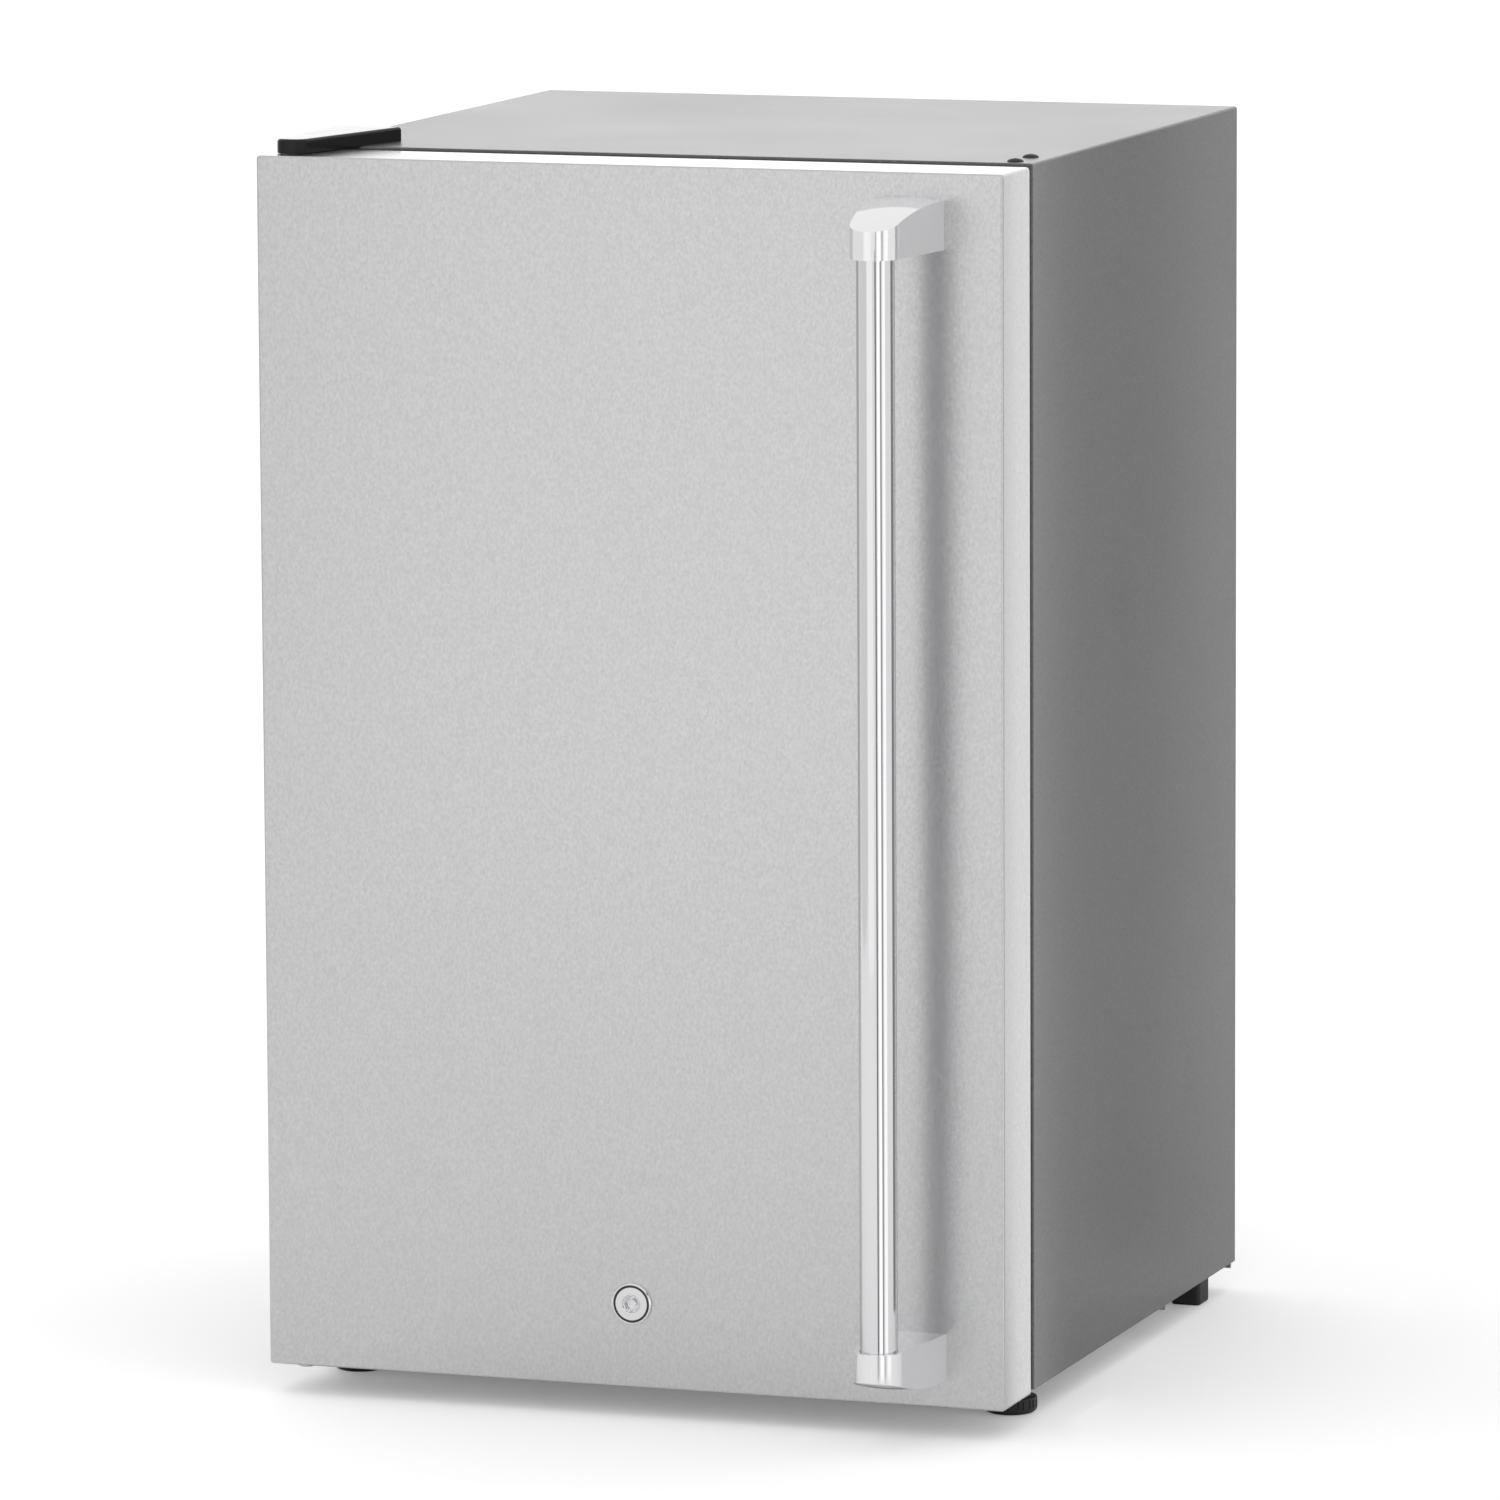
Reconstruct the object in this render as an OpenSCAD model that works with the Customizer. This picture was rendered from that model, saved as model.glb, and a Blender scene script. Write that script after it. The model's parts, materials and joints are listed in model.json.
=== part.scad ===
// Compact undercounter refrigerator with a reversible stainless door.
// Millimetres, +Z up, +Y to the back, +X to the right seen from the front.
// Origin: centre of the bounding box's bottom, so the feet stand on z = 0.

/* [Cabinet] */
// Width over the two side panels
cab_w = 511; // [460:1:620]
// Height of the cabinet without its feet
cab_h = 817; // [740:1:960]
// Depth of the cabinet from its front face to the rear edges
cab_d = 469; // [430:1:560]
// Height of the feet under the cabinet
foot_h = 20; // [14:1:30]
// Thickness of the insulated side walls
side_wall = 38; // [34:1:50]
// Thickness of the insulated top
top_wall = 38; // [30:1:50]
// Height of the cavity floor above the cabinet's bottom edge
floor_rise = 100; // [92:1:120]
// Depth of the open recess behind the back panel
rear_recess = 32; // [26:1:45]
// Thickness of the foam behind the cavity
back_foam = 36; // [28:1:50]
// Sheet steel of the outer shell
sheet = 1; // [0.6:0.1:1.6]
// Plastic sheet of the two liners
liner_t = 2; // [1.5:0.1:3]

/* [Compressor space] */
// Height of the compressor space above the cabinet's bottom edge
comp_h = 190; // [175:1:240]
// Depth of the compressor space
comp_d = 170; // [155:1:200]
// Diameter of the compressor can
can_d = 126; // [110:1:140]
// Height of the compressor can
can_h = 138; // [120:1:150]
// Length of the drip tray on the compressor
tray_l = 150; // [130:1:160]

/* [Door] */
// Thickness of the door
door_t = 58; // [50:1:75]
// Gap between the door's back and the cabinet, filled by the gasket
gasket_gap = 19; // [15:1:24]
// Overhang of the door past the cabinet on each side
door_over = 4.5; // [0:0.5:8]
// Clearance of the door to the hinge plates above and below
door_clear = 0.5; // [0.4:0.1:1.5]
// Inset of the gasket from the cabinet's sides
gasket_inset = 13.5; // [13:0.5:18]
// Width of the gasket
gasket_w = 20; // [16:1:22]
// Reach of the door liner's raised rim into the cavity, from the door's back
rim_reach = 43; // [34:1:55]

/* [Hinge] */
// Distance of the hinge pin from the door's left edge
pin_in = 17; // [14:1:24]
// Distance of the hinge pin behind the door's front face
pin_back = 24; // [20:1:30]
// Diameter of the hinge pins
pin_d = 8; // [6:0.5:10]
// Thickness of the hinge plates
plate_t = 3; // [2:0.5:5]
// Height of the hinge cover
cover_h = 9.5; // [8:0.5:14]

/* [Handle] */
// Diameter of the handle tube
tube_d = 25; // [18:1:32]
// Distance of the tube's axis in front of the door
tube_out = 66; // [60:1:90]
// Distance of the tube's axis from the door's right edge
tube_in = 65; // [45:1:90]
// Diameter of the bracket's collar
collar_d = 33; // [26:1:42]
// Width of the bracket on the door
bracket_w = 50; // [36:1:60]
// Height of the bracket on the door
bracket_h = 34; // [26:1:48]
// Fall of the bracket's outer face from the door to the collar
arch_drop = 15; // [5:1:18]
// Distance of the bracket from the door's top and bottom edges
bracket_in = 16; // [8:1:60]

/* [Lock] */
// Height of the lock above the door's bottom edge
lock_up = 57; // [54:1:62]
// Diameter of the lock's bezel
bezel_d = 28; // [24:1:32]
// Diameter of the turning core
core_d = 12; // [10:1:14]
// Length of the cam bar
cam_l = 36; // [32:1:40]

/* [Interior] */
// Thickness of the shelf glass
glass_t = 4; // [3:0.5:6]
// Diameter of the thermostat knob
knob_d = 34; // [26:1:38]
// Depth of a door bin
bin_d = 88; // [60:1:100]
// Clear height over the top shelf
top_room = 221; // [190:1:260]
// Height of the lowest shelf over the cavity's step
shelf_rise = 18; // [12:1:40]
// From the top of the door liner's rim down to the top bin
bin_down = 177; // [150:1:220]
// Wall thickness of a door bin
bin_t = 2; // [1.5:0.5:3]

/* [Fit] */
// Radial clearance of a shaft in its hole
run = 0.05; // [0.03:0.01:0.1]
// Clearance between separate pieces
gap = 0.4; // [0.3:0.1:0.8]

/* [Hidden] */
$fn = 48;

// Overall places. The door's front face is at door_y; fy(d) is d behind it.
reach = tube_out + collar_d / 2;
total_d = reach + door_t + gasket_gap + cab_d;
door_y = reach - total_d / 2;
function fy(d) = door_y + d;

cab_x = cab_w / 2;
front_y = fy(door_t + gasket_gap);
rear_y = front_y + cab_d;
cab_z0 = foot_h;
cab_z1 = foot_h + cab_h;
door_x = cab_x + door_over;
door_z0 = cab_z0 + door_clear;
door_z1 = cab_z1 - door_clear;
door_b = fy(door_t);

// Cabinet walls
return_w = 30;                              // folded front edge of the shell
rear_return = 12;                           // folded rear edge of the shell
flange_w = 8;                               // flange round the liner's mouth
lip_t = 1.2;                                // thickness of the front edges' overlap
panel_y = rear_y - rear_recess;             // rear face of the back panel
cav_x = cab_x - side_wall;                  // inner half width of the cavity
cav_y1 = panel_y - sheet - back_foam;       // back of the liner
cav_z0 = cab_z0 + floor_rise;
cav_z1 = cab_z1 - top_wall;
comp_y = rear_y - comp_d;                   // front of the compressor space
comp_z = cab_z0 + comp_h;                   // top of the compressor space
step_foam = 34;
step_y = comp_y - step_foam;                // front of the step in the cavity
step_z = comp_z + step_foam;                // top of the step in the cavity
pan_z = cab_z0 + 30;                        // underside of the foam
drain_y = cav_y1 - 16;
drain_r = 7;                                // drain hole
line_hole_r = 4;                            // holes of the lines in the back panel
plug_r = 3;
rail_t = 1.5;
rail_depth = 50;
plug_x = cab_x - 15.5;                      // plugged hinge holes on the free side
plug_y = [front_y + 12, front_y + 45];
plate_z0 = step_z + 60;                     // evaporator plate behind the liner
plate_z1 = cav_z1 - 60;
suction_x = 40;                             // places of the lines through the foam
liquid_x = -10;
line_z = plate_z0 + 10;

// Hinge
pin_x = -door_x + pin_in;
pin_y = fy(pin_back);
pin_len = 14;
hinge_plate_back = 42;                      // length of a hinge plate on the cabinet
hinge_screw_y = [front_y + 9, front_y + 33];
hinge_screw_dx = [2, 14];
screw_d = 5;
cover_wall = 1.5;

// Gasket and door
gask_x = cab_x - gasket_inset;
gask_z0 = cav_z0 - 23;
gask_z1 = cab_z1 - gasket_inset;
rim_x = cav_x - 12;
rim_z0 = cav_z0 + 12;
rim_z1 = cav_z1 - 10;
rim_w = 20;
rim_y = door_b + rim_reach;
skin_lip = 11;

// Handle
tube_x = door_x - tube_in;
tube_y = door_y - tube_out;
tube_wall = 1.5;
socket = 12;
br_top = door_z1 - bracket_in;
br_bot = door_z0 + bracket_in;
hscrew_d = 5;
hscrew_dx = 11;
hscrew_dz = bracket_h / 2;

// Lock
lock_z = door_z0 + lock_up;
barrel_d = 19;
keeper_t = 2;
keeper_y = front_y + rail_t;
cam_t = 3;
cam_y = keeper_y + keeper_t + 1;
cam_w = 12;
slot_h = cam_w + 6;
slot_l = cam_l / 2 + 4;
slot_r = cam_l / 2 + 8;
window_x = 32;
window_z = 14;

// Shelves, control box, bins
low_shelf_z = step_z + shelf_rise;
shelf_z = [for (i = [0:2]) low_shelf_z + i * (cav_z1 - top_room - low_shelf_z) / 2];
shelf_front = fy(door_t) + bin_d + 18;
shelf_back = cav_y1 - liner_t - 4;
shelf_x = cav_x - liner_t - 2;
rib_out = 9;
rib_h = 8;
ledge_front = 6;                            // reach of a ledge in front of its shelf
box_y0 = shelf_front + 34;
box_y1 = box_y0 + 150;
box_z0 = cav_z1 - liner_t - 96;
box_z1 = cav_z1 - liner_t - 10;
box_x1 = cav_x - liner_t;
box_x0 = box_x1 - 36;
knob_y = box_y1 - 38;
knob_z = (box_z0 + box_z1) / 2;
switch_y = knob_y - 45;
rocker_in = 3;
rocker_tilt = 8;
rocker_w = 14;
pivot_r = 1.2;
pivot_lug = 3;
switch_hole = rocker_w / 2 + 1;             // half length of the rocker's opening
lens_y0 = box_y0 + 6;
lens_y1 = box_y0 + 42;
bin_x = rim_x - rim_w - liner_t - 5;
bin_y0 = door_b + 1;
bin_shift = 8.5;                            // middle bin above the middle of the others
bin_low = rim_z0 + rim_w + 3;
bin_high = rim_z1 - bin_down;
bin_z = [bin_low, (bin_low + bin_high) / 2 + bin_shift, bin_high];
bin_h = [110, 75, 75];
rim_in = rim_x - rim_w;                     // inner face of the rim's channel

// Feet
foot_x = cab_x - 23;
foot_y = front_y + 21;
foot_d = 36;
pad_h = 11;
neck_h = foot_h - pad_h - plate_t - gap - 0.4;
stud_d = 8;
insert_d = 12;
insert_h = 14;
rear_foot_w = 21;
rear_foot_l = 24;
rear_foot_x = cab_x - 26.5;
rear_foot_y = rear_y - 58;

// Compressor and base
base_t = 2;
base_z = cab_z0 + 4;
base_x = cab_x - sheet - 1.5;
base_y0 = comp_y + 8;
base_y1 = rear_y - 2;
base_flange = 9;
gland_x = 150;
gland_y = rear_y - 16;
gland_z = base_z + 24;
gland_bore = 7;
gland_l = 16;
can_x = -70;
can_y = comp_y + comp_d / 2;
can_z = base_z + base_t + 12;
stub_x = can_x + can_d / 2 + 14;
drier_x = 130;
drier_y = comp_y + 60;
line_y = rear_y - 24;
mount_dx = can_d / 2 + 10;
mount_dy = 34;
belt_z = can_z + can_h * 0.52;

// Condenser
grid_y = rear_y - 15;
grid_x = cab_x - 45;
grid_z0 = comp_z + 30;
grid_z1 = cab_z1 - 40;
runs = 12;
run_r = 2.5;
wire_r = 0.9;
wires = 22;
run_pitch = (grid_z1 - grid_z0) / (runs - 1);

module span(x, y, z) {
    translate([x[0], y[0], z[0]]) cube([x[1] - x[0], y[1] - y[0], z[1] - z[0]]);
}

// Cylinder along +Y from point p
module rod_y(p, r, l) {
    translate(p) rotate([-90, 0, 0]) cylinder(r = r, h = l);
}

// Cylinder along +X from point p
module rod_x(p, r, l) {
    translate(p) rotate([0, 90, 0]) cylinder(r = r, h = l);
}

// Cylinder along +Z from point p
module rod_z(p, r, l) {
    translate(p) cylinder(r = r, h = l);
}

// Corner points of a rectangle centred on the origin with round corners
function round_rect(w, d, r, n = 5) = [
    for (q = [0:3], i = [0:n])
        let (sx = q == 0 || q == 3 ? 1 : -1, sy = q < 2 ? 1 : -1, a = q * 90 + i * 90 / n)
            [sx * (w / 2 - r) + r * cos(a), sy * (d / 2 - r) + r * sin(a)]
];

// Upright plate or block with round corners, centred on x and y
module slab(w, d, r, z0, z1) {
    translate([0, 0, z0]) linear_extrude(z1 - z0) polygon(round_rect(w, d, r));
}

// Rectangular ring in the XZ plane between two half widths
module ring_y(x, z0, z1, w, y0, y1) {
    difference() {
        span([-x, x], [y0, y1], [z0, z1]);
        span([-x + w, x - w], [y0 - 1, y1 + 1], [z0 + w, z1 - w]);
    }
}

// Tube along a list of points, with a fatter brazed elbow at each corner
module pipe(points, r) {
    for (i = [0:len(points) - 2]) {
        a = points[i];
        b = points[i + 1];
        v = b - a;
        l = norm(v);
        translate(a) rotate([0, acos(v[2] / l), atan2(v[1], v[0])]) cylinder(r = r, h = l, $fn = 24);
    }
    for (i = [1:len(points) - 2]) translate(points[i]) sphere(r = r * 1.2, $fn = 24);
}

// ---- cabinet ----

module hinge_screw_places() {
    for (i = [0:1]) translate([pin_x + hinge_screw_dx[i], hinge_screw_y[i], 0]) children();
}

module outer_shell() {
    color([0.2, 0.2, 0.21]) difference() {
        span([-cab_x, cab_x], [front_y, rear_y], [cab_z0, cab_z1]);
        span([-cab_x + sheet, cab_x - sheet], [front_y + sheet, rear_y - sheet],
            [cab_z0 - 1, cab_z1 - sheet]);
        span([-cab_x + return_w, cab_x - return_w], [front_y - 1, front_y + 5],
            [cab_z0 - 1, cab_z1 - return_w]);
        span([-cab_x + rear_return, cab_x - rear_return], [rear_y - 5, rear_y + 1],
            [cab_z0 - 1, cab_z1 - rear_return]);
        hinge_screw_places() rod_z([0, 0, cab_z1 - 5], screw_d / 2, 10);
        for (y = plug_y) rod_z([plug_x, y, cab_z1 - 5], plug_r, 10);
    }
}

module back_panel() {
    color([0.2, 0.2, 0.21]) difference() {
        union() {
            span([-cab_x + sheet + gap, cab_x - sheet - gap], [panel_y - sheet, panel_y],
                [comp_z + sheet, cab_z1 - sheet - gap]);
            span([-cab_x + sheet + gap, cab_x - sheet - gap], [panel_y - sheet, panel_y + 4],
                [comp_z + sheet, comp_z + 2 * sheet]);
        }
        for (x = [suction_x, liquid_x]) rod_y([x, panel_y - 5, line_z], line_hole_r, 30);
    }
}

module front_rail() {
    color([0.2, 0.2, 0.21]) difference() {
        union() {
            span([-cab_x + return_w + gap, cab_x - return_w - gap], [front_y, front_y + rail_t],
                [cab_z0, cav_z0 - flange_w - gap]);
            span([-cab_x + sheet + gap, cab_x - sheet - gap],
                [front_y + lip_t, front_y + rail_depth], [cab_z0, cab_z0 + rail_t]);
        }
        span([-window_x, window_x], [front_y - 1, front_y + 5], [lock_z - window_z, lock_z + window_z]);
        for (s = [-1, 1]) rod_z([s * foot_x, foot_y, cab_z0 - 1], insert_d / 2, 10);
        bottom_screw_places() rod_z([0, 0, cab_z0 - 5], screw_d / 2, 10);
    }
}

module bottom_pan() {
    color([0.55, 0.56, 0.57]) difference() {
        union() {
            span([-cab_x + sheet + gap, cab_x - sheet - gap], [front_y + rail_t + gap, comp_y],
                [pan_z, pan_z + sheet]);
            span([-cab_x + sheet + gap, cab_x - sheet - gap], [comp_y - sheet, comp_y],
                [pan_z, comp_z]);
            span([-cab_x + sheet + gap, cab_x - sheet - gap], [comp_y - sheet, panel_y - sheet],
                [comp_z - sheet, comp_z]);
        }
        rod_z([0, drain_y, comp_z - 5], drain_r, 10);
    }
}

module cabinet_foam() {
    color([0.93, 0.86, 0.66]) difference() {
        span([-cab_x + sheet, cab_x - sheet], [front_y + keeper_t + rail_t, panel_y - sheet],
            [pan_z + sheet, cab_z1 - sheet]);
        liner_outer();
        span([-cab_x, cab_x], [comp_y - sheet, rear_y], [0, comp_z]);
        span([-window_x - 5, window_x + 5], [front_y, keeper_y + 24],
            [lock_z - window_z - 10, lock_z + window_z + 10]);
        span([-grid_x - 1, grid_x + 1], [cav_y1, cav_y1 + 9], [plate_z0 - 1, plate_z1 + 1]);
        hinge_screw_places() rod_z([0, 0, cab_z1 - 20], screw_d / 2, 30);
        for (y = plug_y) rod_z([plug_x, y, cab_z1 - 8], plug_r + 1, 20);
        for (x = [suction_x, liquid_x]) rod_y([x, cav_y1 + 5, line_z], 3, 60);
        rod_z([0, drain_y, comp_z - 5], drain_r + 2, step_foam + 20);
        for (s = [-1, 1]) rod_z([s * foot_x, foot_y, cab_z0], insert_d / 2 + 1, 40);
    }
}

// Solid of the liner's outer face
module liner_outer() {
    difference() {
        span([-cav_x, cav_x], [front_y - 1, cav_y1], [cav_z0, cav_z1]);
        span([-cab_x, cab_x], [step_y, rear_y], [0, step_z]);
    }
}

module inner_liner() {
    t = liner_t;
    color([0.95, 0.95, 0.94]) difference() {
        union() {
            difference() {
                liner_outer();
                difference() {
                    span([-cav_x + t, cav_x - t], [front_y - 5, cav_y1 - t], [cav_z0 + t, cav_z1 - t]);
                    span([-cab_x, cab_x], [step_y - t, rear_y], [0, step_z + t]);
                }
                span([-cab_x, cab_x], [front_y - 5, front_y], [0, cab_z1]);
            }
            ring_y(cav_x + flange_w - gap, cav_z0 - flange_w + gap, cav_z1 + flange_w - gap, flange_w,
                front_y, front_y + t);
        }
        rod_z([0, drain_y, comp_z], drain_r, step_foam + 10);
    }
}

// Moulded ledges on the liner's side walls that carry the shelves
module shelf_ledges() {
    x = cav_x - liner_t;
    color([0.93, 0.93, 0.93]) for (z = shelf_z, s = [-1, 1]) mirror([s < 0 ? 1 : 0, 0, 0])
        span([x - rib_out, x], [shelf_front - ledge_front, shelf_back], [z - rib_h, z]);
}

module evaporator_plate() {
    color([0.75, 0.76, 0.78]) {
        span([-grid_x, grid_x], [cav_y1, cav_y1 + 1.5], [plate_z0, plate_z1]);
        passes = 8;
        pitch = (plate_z1 - plate_z0 - 60) / (passes - 1);
        y = cav_y1 + 1.5 + 3.1;
        for (i = [0:passes - 1])
            rod_x([-grid_x + 30, y, plate_z0 + 30 + i * pitch], 3, 2 * grid_x - 60);
        for (i = [0:passes - 2])
            rod_z([(i % 2 == 0 ? 1 : -1) * (grid_x - 30), y, plate_z0 + 30 + i * pitch], 3, pitch);
    }
}

// ---- cooling machine ----

module compressor() {
    r = can_d / 2;
    color([0.08, 0.08, 0.09]) {
        translate([can_x, can_y, 0]) {
            rotate_extrude($fn = 64) polygon(concat(
                [[0, can_z]],
                [for (a = [-90:15:0]) [r - 24 + 24 * cos(a), can_z + 24 + 24 * sin(a)]],
                [[r, belt_z], [r + 3, belt_z], [r + 3, belt_z + 5], [r - 1.5, belt_z + 5]],
                [for (a = [0:15:90]) [r - 41.5 + 40 * cos(a), can_z + can_h - 34 + 34 * sin(a)]],
                [[0, can_z + can_h]]
            ));
            // Feet with their four holes
            for (s = [-1, 1]) difference() {
                span([s * mount_dx - 13, s * mount_dx + 13], [-mount_dy - 12, mount_dy + 12],
                    [can_z + 2, can_z + 5]);
                for (t = [-1, 1]) rod_z([s * mount_dx, t * mount_dy, can_z], 6, 10);
            }
        }
        rod_x([can_x + r - 4, can_y - 18, can_z + 52], 4, 18);
        rod_x([can_x + r - 4, can_y + 18, can_z + 52], 3, 18);
    }
}

module compressor_grommets() {
    color([0.12, 0.12, 0.12]) for (s = [-1, 1], t = [-1, 1])
        translate([can_x + s * mount_dx, can_y + t * mount_dy, 0]) difference() {
            union() {
                rod_z([0, 0, base_z + base_t], 9, can_z + 2 - base_z - base_t);
                rod_z([0, 0, can_z], 5.9, 8);
                rod_z([0, 0, can_z + 5.2], 8.5, 4);
            }
            rod_z([0, 0, base_z], 3, 40);
        }
}

module start_relay() {
    color([0.13, 0.13, 0.14]) translate([can_x - can_d / 2 - 16, can_y, can_z + 50])
        difference() {
            slab(34, 46, 5, 0, 44);
            translate([can_d / 2 + 16, 0, -1]) cylinder(r = can_d / 2 + 3.5, h = 60);
        }
}

module base_plate() {
    color([0.6, 0.61, 0.62]) difference() {
        union() {
            span([-base_x, base_x], [base_y0, base_y1], [base_z, base_z + base_t]);
            span([-base_x, base_x], [base_y0, base_y0 + base_t], [base_z - base_flange, base_z + base_t]);
            span([-base_x, base_x], [base_y1 - base_t, base_y1], [base_z - base_flange, base_z + base_t]);
            for (s = [-1, 1]) mirror([s < 0 ? 1 : 0, 0, 0])
                span([base_x - base_t, base_x], [base_y0, base_y1], [base_z, base_z + 26]);
            // Upright tab that holds the cord gland
            span([gland_x - 18, gland_x + 18], [gland_y, gland_y + base_t], [base_z, gland_z + 16]);
        }
        for (s = [-1, 1], t = [-1, 1])
            rod_z([can_x + s * mount_dx, can_y + t * mount_dy, base_z - 5], 3, 20);
        rod_y([gland_x, gland_y - 5, gland_z], 8, 20);
    }
}

module cord_gland() {
    color([0.05, 0.05, 0.05]) translate([gland_x, gland_y, gland_z]) difference() {
        union() {
            rod_y([0, -gland_l / 2, 0], 8, gland_l);
            rod_y([0, base_t, 0], 11, 3.5);
            rod_y([0, -3.5, 0], 10.5, 3.5);
        }
        rod_y([0, -gland_l, 0], gland_bore / 2, 2 * gland_l);
    }
}

module rear_feet() {
    color([0.05, 0.05, 0.05]) for (s = [-1, 1]) mirror([s < 0 ? 1 : 0, 0, 0])
        translate([rear_foot_x + rear_foot_w / 2, rear_foot_y, 0])
            slab(rear_foot_w, rear_foot_l, 3, 0, base_z);
}

module foot_inserts() {
    color([0.7, 0.7, 0.7]) for (s = [-1, 1]) translate([s * foot_x, foot_y, 0]) difference() {
        union() {
            rod_z([0, 0, cab_z0], insert_d / 2, insert_h);
            rod_z([0, 0, cab_z0 + rail_t], insert_d / 2 + 2.5, 2);
        }
        rod_z([0, 0, cab_z0 - 1], stud_d / 2 + run, insert_h + 5);
    }
}

module front_foot(s) {
    color([0.05, 0.05, 0.05]) translate([s * foot_x, foot_y, 0]) {
        rotate_extrude($fn = 64) polygon(concat(
            [[0, 0]],
            [for (a = [-90:30:0]) [foot_d / 2 - 4 + 4 * cos(a), 4 + 4 * sin(a)]],
            [[foot_d / 2, pad_h - 1], [foot_d / 2 - 1, pad_h], [0, pad_h]]
        ));
        rod_z([0, 0, pad_h - 1], 8, neck_h + 1);
        rod_z([0, 0, 1], stud_d / 2, foot_h + insert_h - 4);
    }
}

module front_foot_left() { front_foot(-1); }
module front_foot_right() { front_foot(1); }

function run_z(i) = grid_z0 + i * run_pitch;
function side(i) = i % 2 == 0 ? -1 : 1;

module condenser_tube() {
    color([0.06, 0.06, 0.07]) {
        for (i = [0:runs - 1]) rod_x([-grid_x, grid_y, run_z(i)], run_r, 2 * grid_x);
        for (i = [0:runs - 2]) translate([side(i) * grid_x, grid_y, run_z(i) + run_pitch / 2])
            rotate([90, 0, 0]) rotate([0, 0, side(i) > 0 ? -90 : 90])
                rotate_extrude(angle = 180, $fn = 48)
                    translate([run_pitch / 2, 0]) circle(r = run_r, $fn = 24);
    }
}

module condenser_wires() {
    off = run_r + wire_r + 0.05;
    color([0.06, 0.06, 0.07]) for (i = [0:wires - 1], s = [-1, 1])
        rod_z([-grid_x + 12 + i * (2 * grid_x - 24) / (wires - 1), grid_y + s * off, grid_z0 - 8],
            wire_r, grid_z1 - grid_z0 + 16, $fn = 16);
}

module condenser_clips() {
    color([0.1, 0.1, 0.1]) for (s = [-1, 1], i = [2, runs - 3])
        translate([s * (grid_x - 4), 0, run_z(i)]) difference() {
            span([-5, 5], [panel_y, grid_y + 6], [-7, 7]);
            rod_x([-8, grid_y, 0], run_r + 0.1, 16);
        }
}

module filter_drier() {
    color([0.72, 0.43, 0.2]) translate([drier_x, drier_y, can_z + 20]) {
        rod_z([0, 0, 0], 9, 70);
        translate([0, 0, 70]) cylinder(r1 = 9, r2 = 3, h = 10);
        translate([0, 0, -10]) cylinder(r1 = 3, r2 = 9, h = 10);
    }
}

module refrigerant_lines() {
    color([0.72, 0.43, 0.2]) {
        // Suction line from the evaporator to the compressor
        pipe([[suction_x, cav_y1 + 8, line_z], [suction_x, line_y, line_z],
            [suction_x, line_y, can_z + 110], [stub_x + 16, can_y + 50, can_z + 90],
            [stub_x + 16, can_y - 18, can_z + 52], [stub_x + 0.2, can_y - 18, can_z + 52]], 3);
        // Discharge line to the bottom of the condenser
        pipe([[stub_x + 0.2, can_y + 18, can_z + 52], [stub_x + 12, can_y + 18, can_z + 52],
            [stub_x + 12, can_y + 56, can_z + 40], [grid_x + 12, grid_y, can_z + 40],
            [grid_x + 12, grid_y, grid_z0], [grid_x + 0.1, grid_y, grid_z0]], 2.5);
        // Liquid line from the top of the condenser to the filter drier
        pipe([[grid_x + 0.1, grid_y, grid_z1], [cab_x - 20, grid_y, grid_z1],
            [cab_x - 20, grid_y, comp_z - 30], [drier_x, drier_y, can_z + 130],
            [drier_x, drier_y, can_z + 100.1]], 2.5);
        // Capillary from the drier to the evaporator
        pipe([[drier_x, drier_y, can_z + 9.9], [drier_x, drier_y, can_z],
            [90, drier_y + 10, can_z], [90, line_y, can_z + 20],
            [liquid_x, line_y, comp_z + 10], [liquid_x, line_y, line_z],
            [liquid_x, cav_y1 + 8, line_z]], 1.2);
    }
}

module drip_tray() {
    w = can_d - 16;
    l = tray_l;
    z = can_z + can_h + gap;
    color([0.85, 0.85, 0.84]) translate([can_x, can_y, 0]) difference() {
        slab(l, w, 8, z, z + 14);
        slab(l - 4, w - 4, 7, z + 2, z + 20);
    }
}

module drain_tube() {
    y = drain_y;
    color([0.9, 0.9, 0.9]) difference() {
        union() {
            rod_z([0, y, comp_z - 4], 6.8, step_foam + 4 + liner_t);
            rod_z([0, y, step_z + liner_t], 11, 1);
            pipe([[0, y, comp_z + 6], [0, y, comp_z - 10], [can_x + 50, can_y + 8, comp_z - 10]], 5);
        }
        rod_z([0, y, comp_z + 8], 4.5, step_foam + 20);
    }
}

// ---- hinges ----

// Plan of a hinge plate: a strip on the cabinet and an arm to the pin
module hinge_plan() {
    polygon([[pin_x - 6.5, pin_y - 1], [pin_x - 3, pin_y - 7], [pin_x + 3, pin_y - 7],
        [pin_x + 8, pin_y - 1], [pin_x + 18, front_y + 4],
        [pin_x + 24, front_y + hinge_plate_back],
        [pin_x - 6.5, front_y + hinge_plate_back]]);
}

module top_hinge_plate() {
    color([0.62, 0.63, 0.65]) difference() {
        translate([0, 0, cab_z1]) linear_extrude(plate_t) hinge_plan();
        rod_z([pin_x, pin_y, cab_z1 - 5], pin_d / 2, 20);
        hinge_screw_places() rod_z([0, 0, cab_z1 - 5], screw_d / 2, 20);
    }
}

module top_hinge_pin() {
    color([0.7, 0.7, 0.72]) {
        rod_z([pin_x, pin_y, door_z1 - pin_len], pin_d / 2, plate_t + pin_len + door_clear);
        rod_z([pin_x, pin_y, cab_z1 + plate_t], pin_d / 2 + 1.5, 1.5);
    }
}

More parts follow.
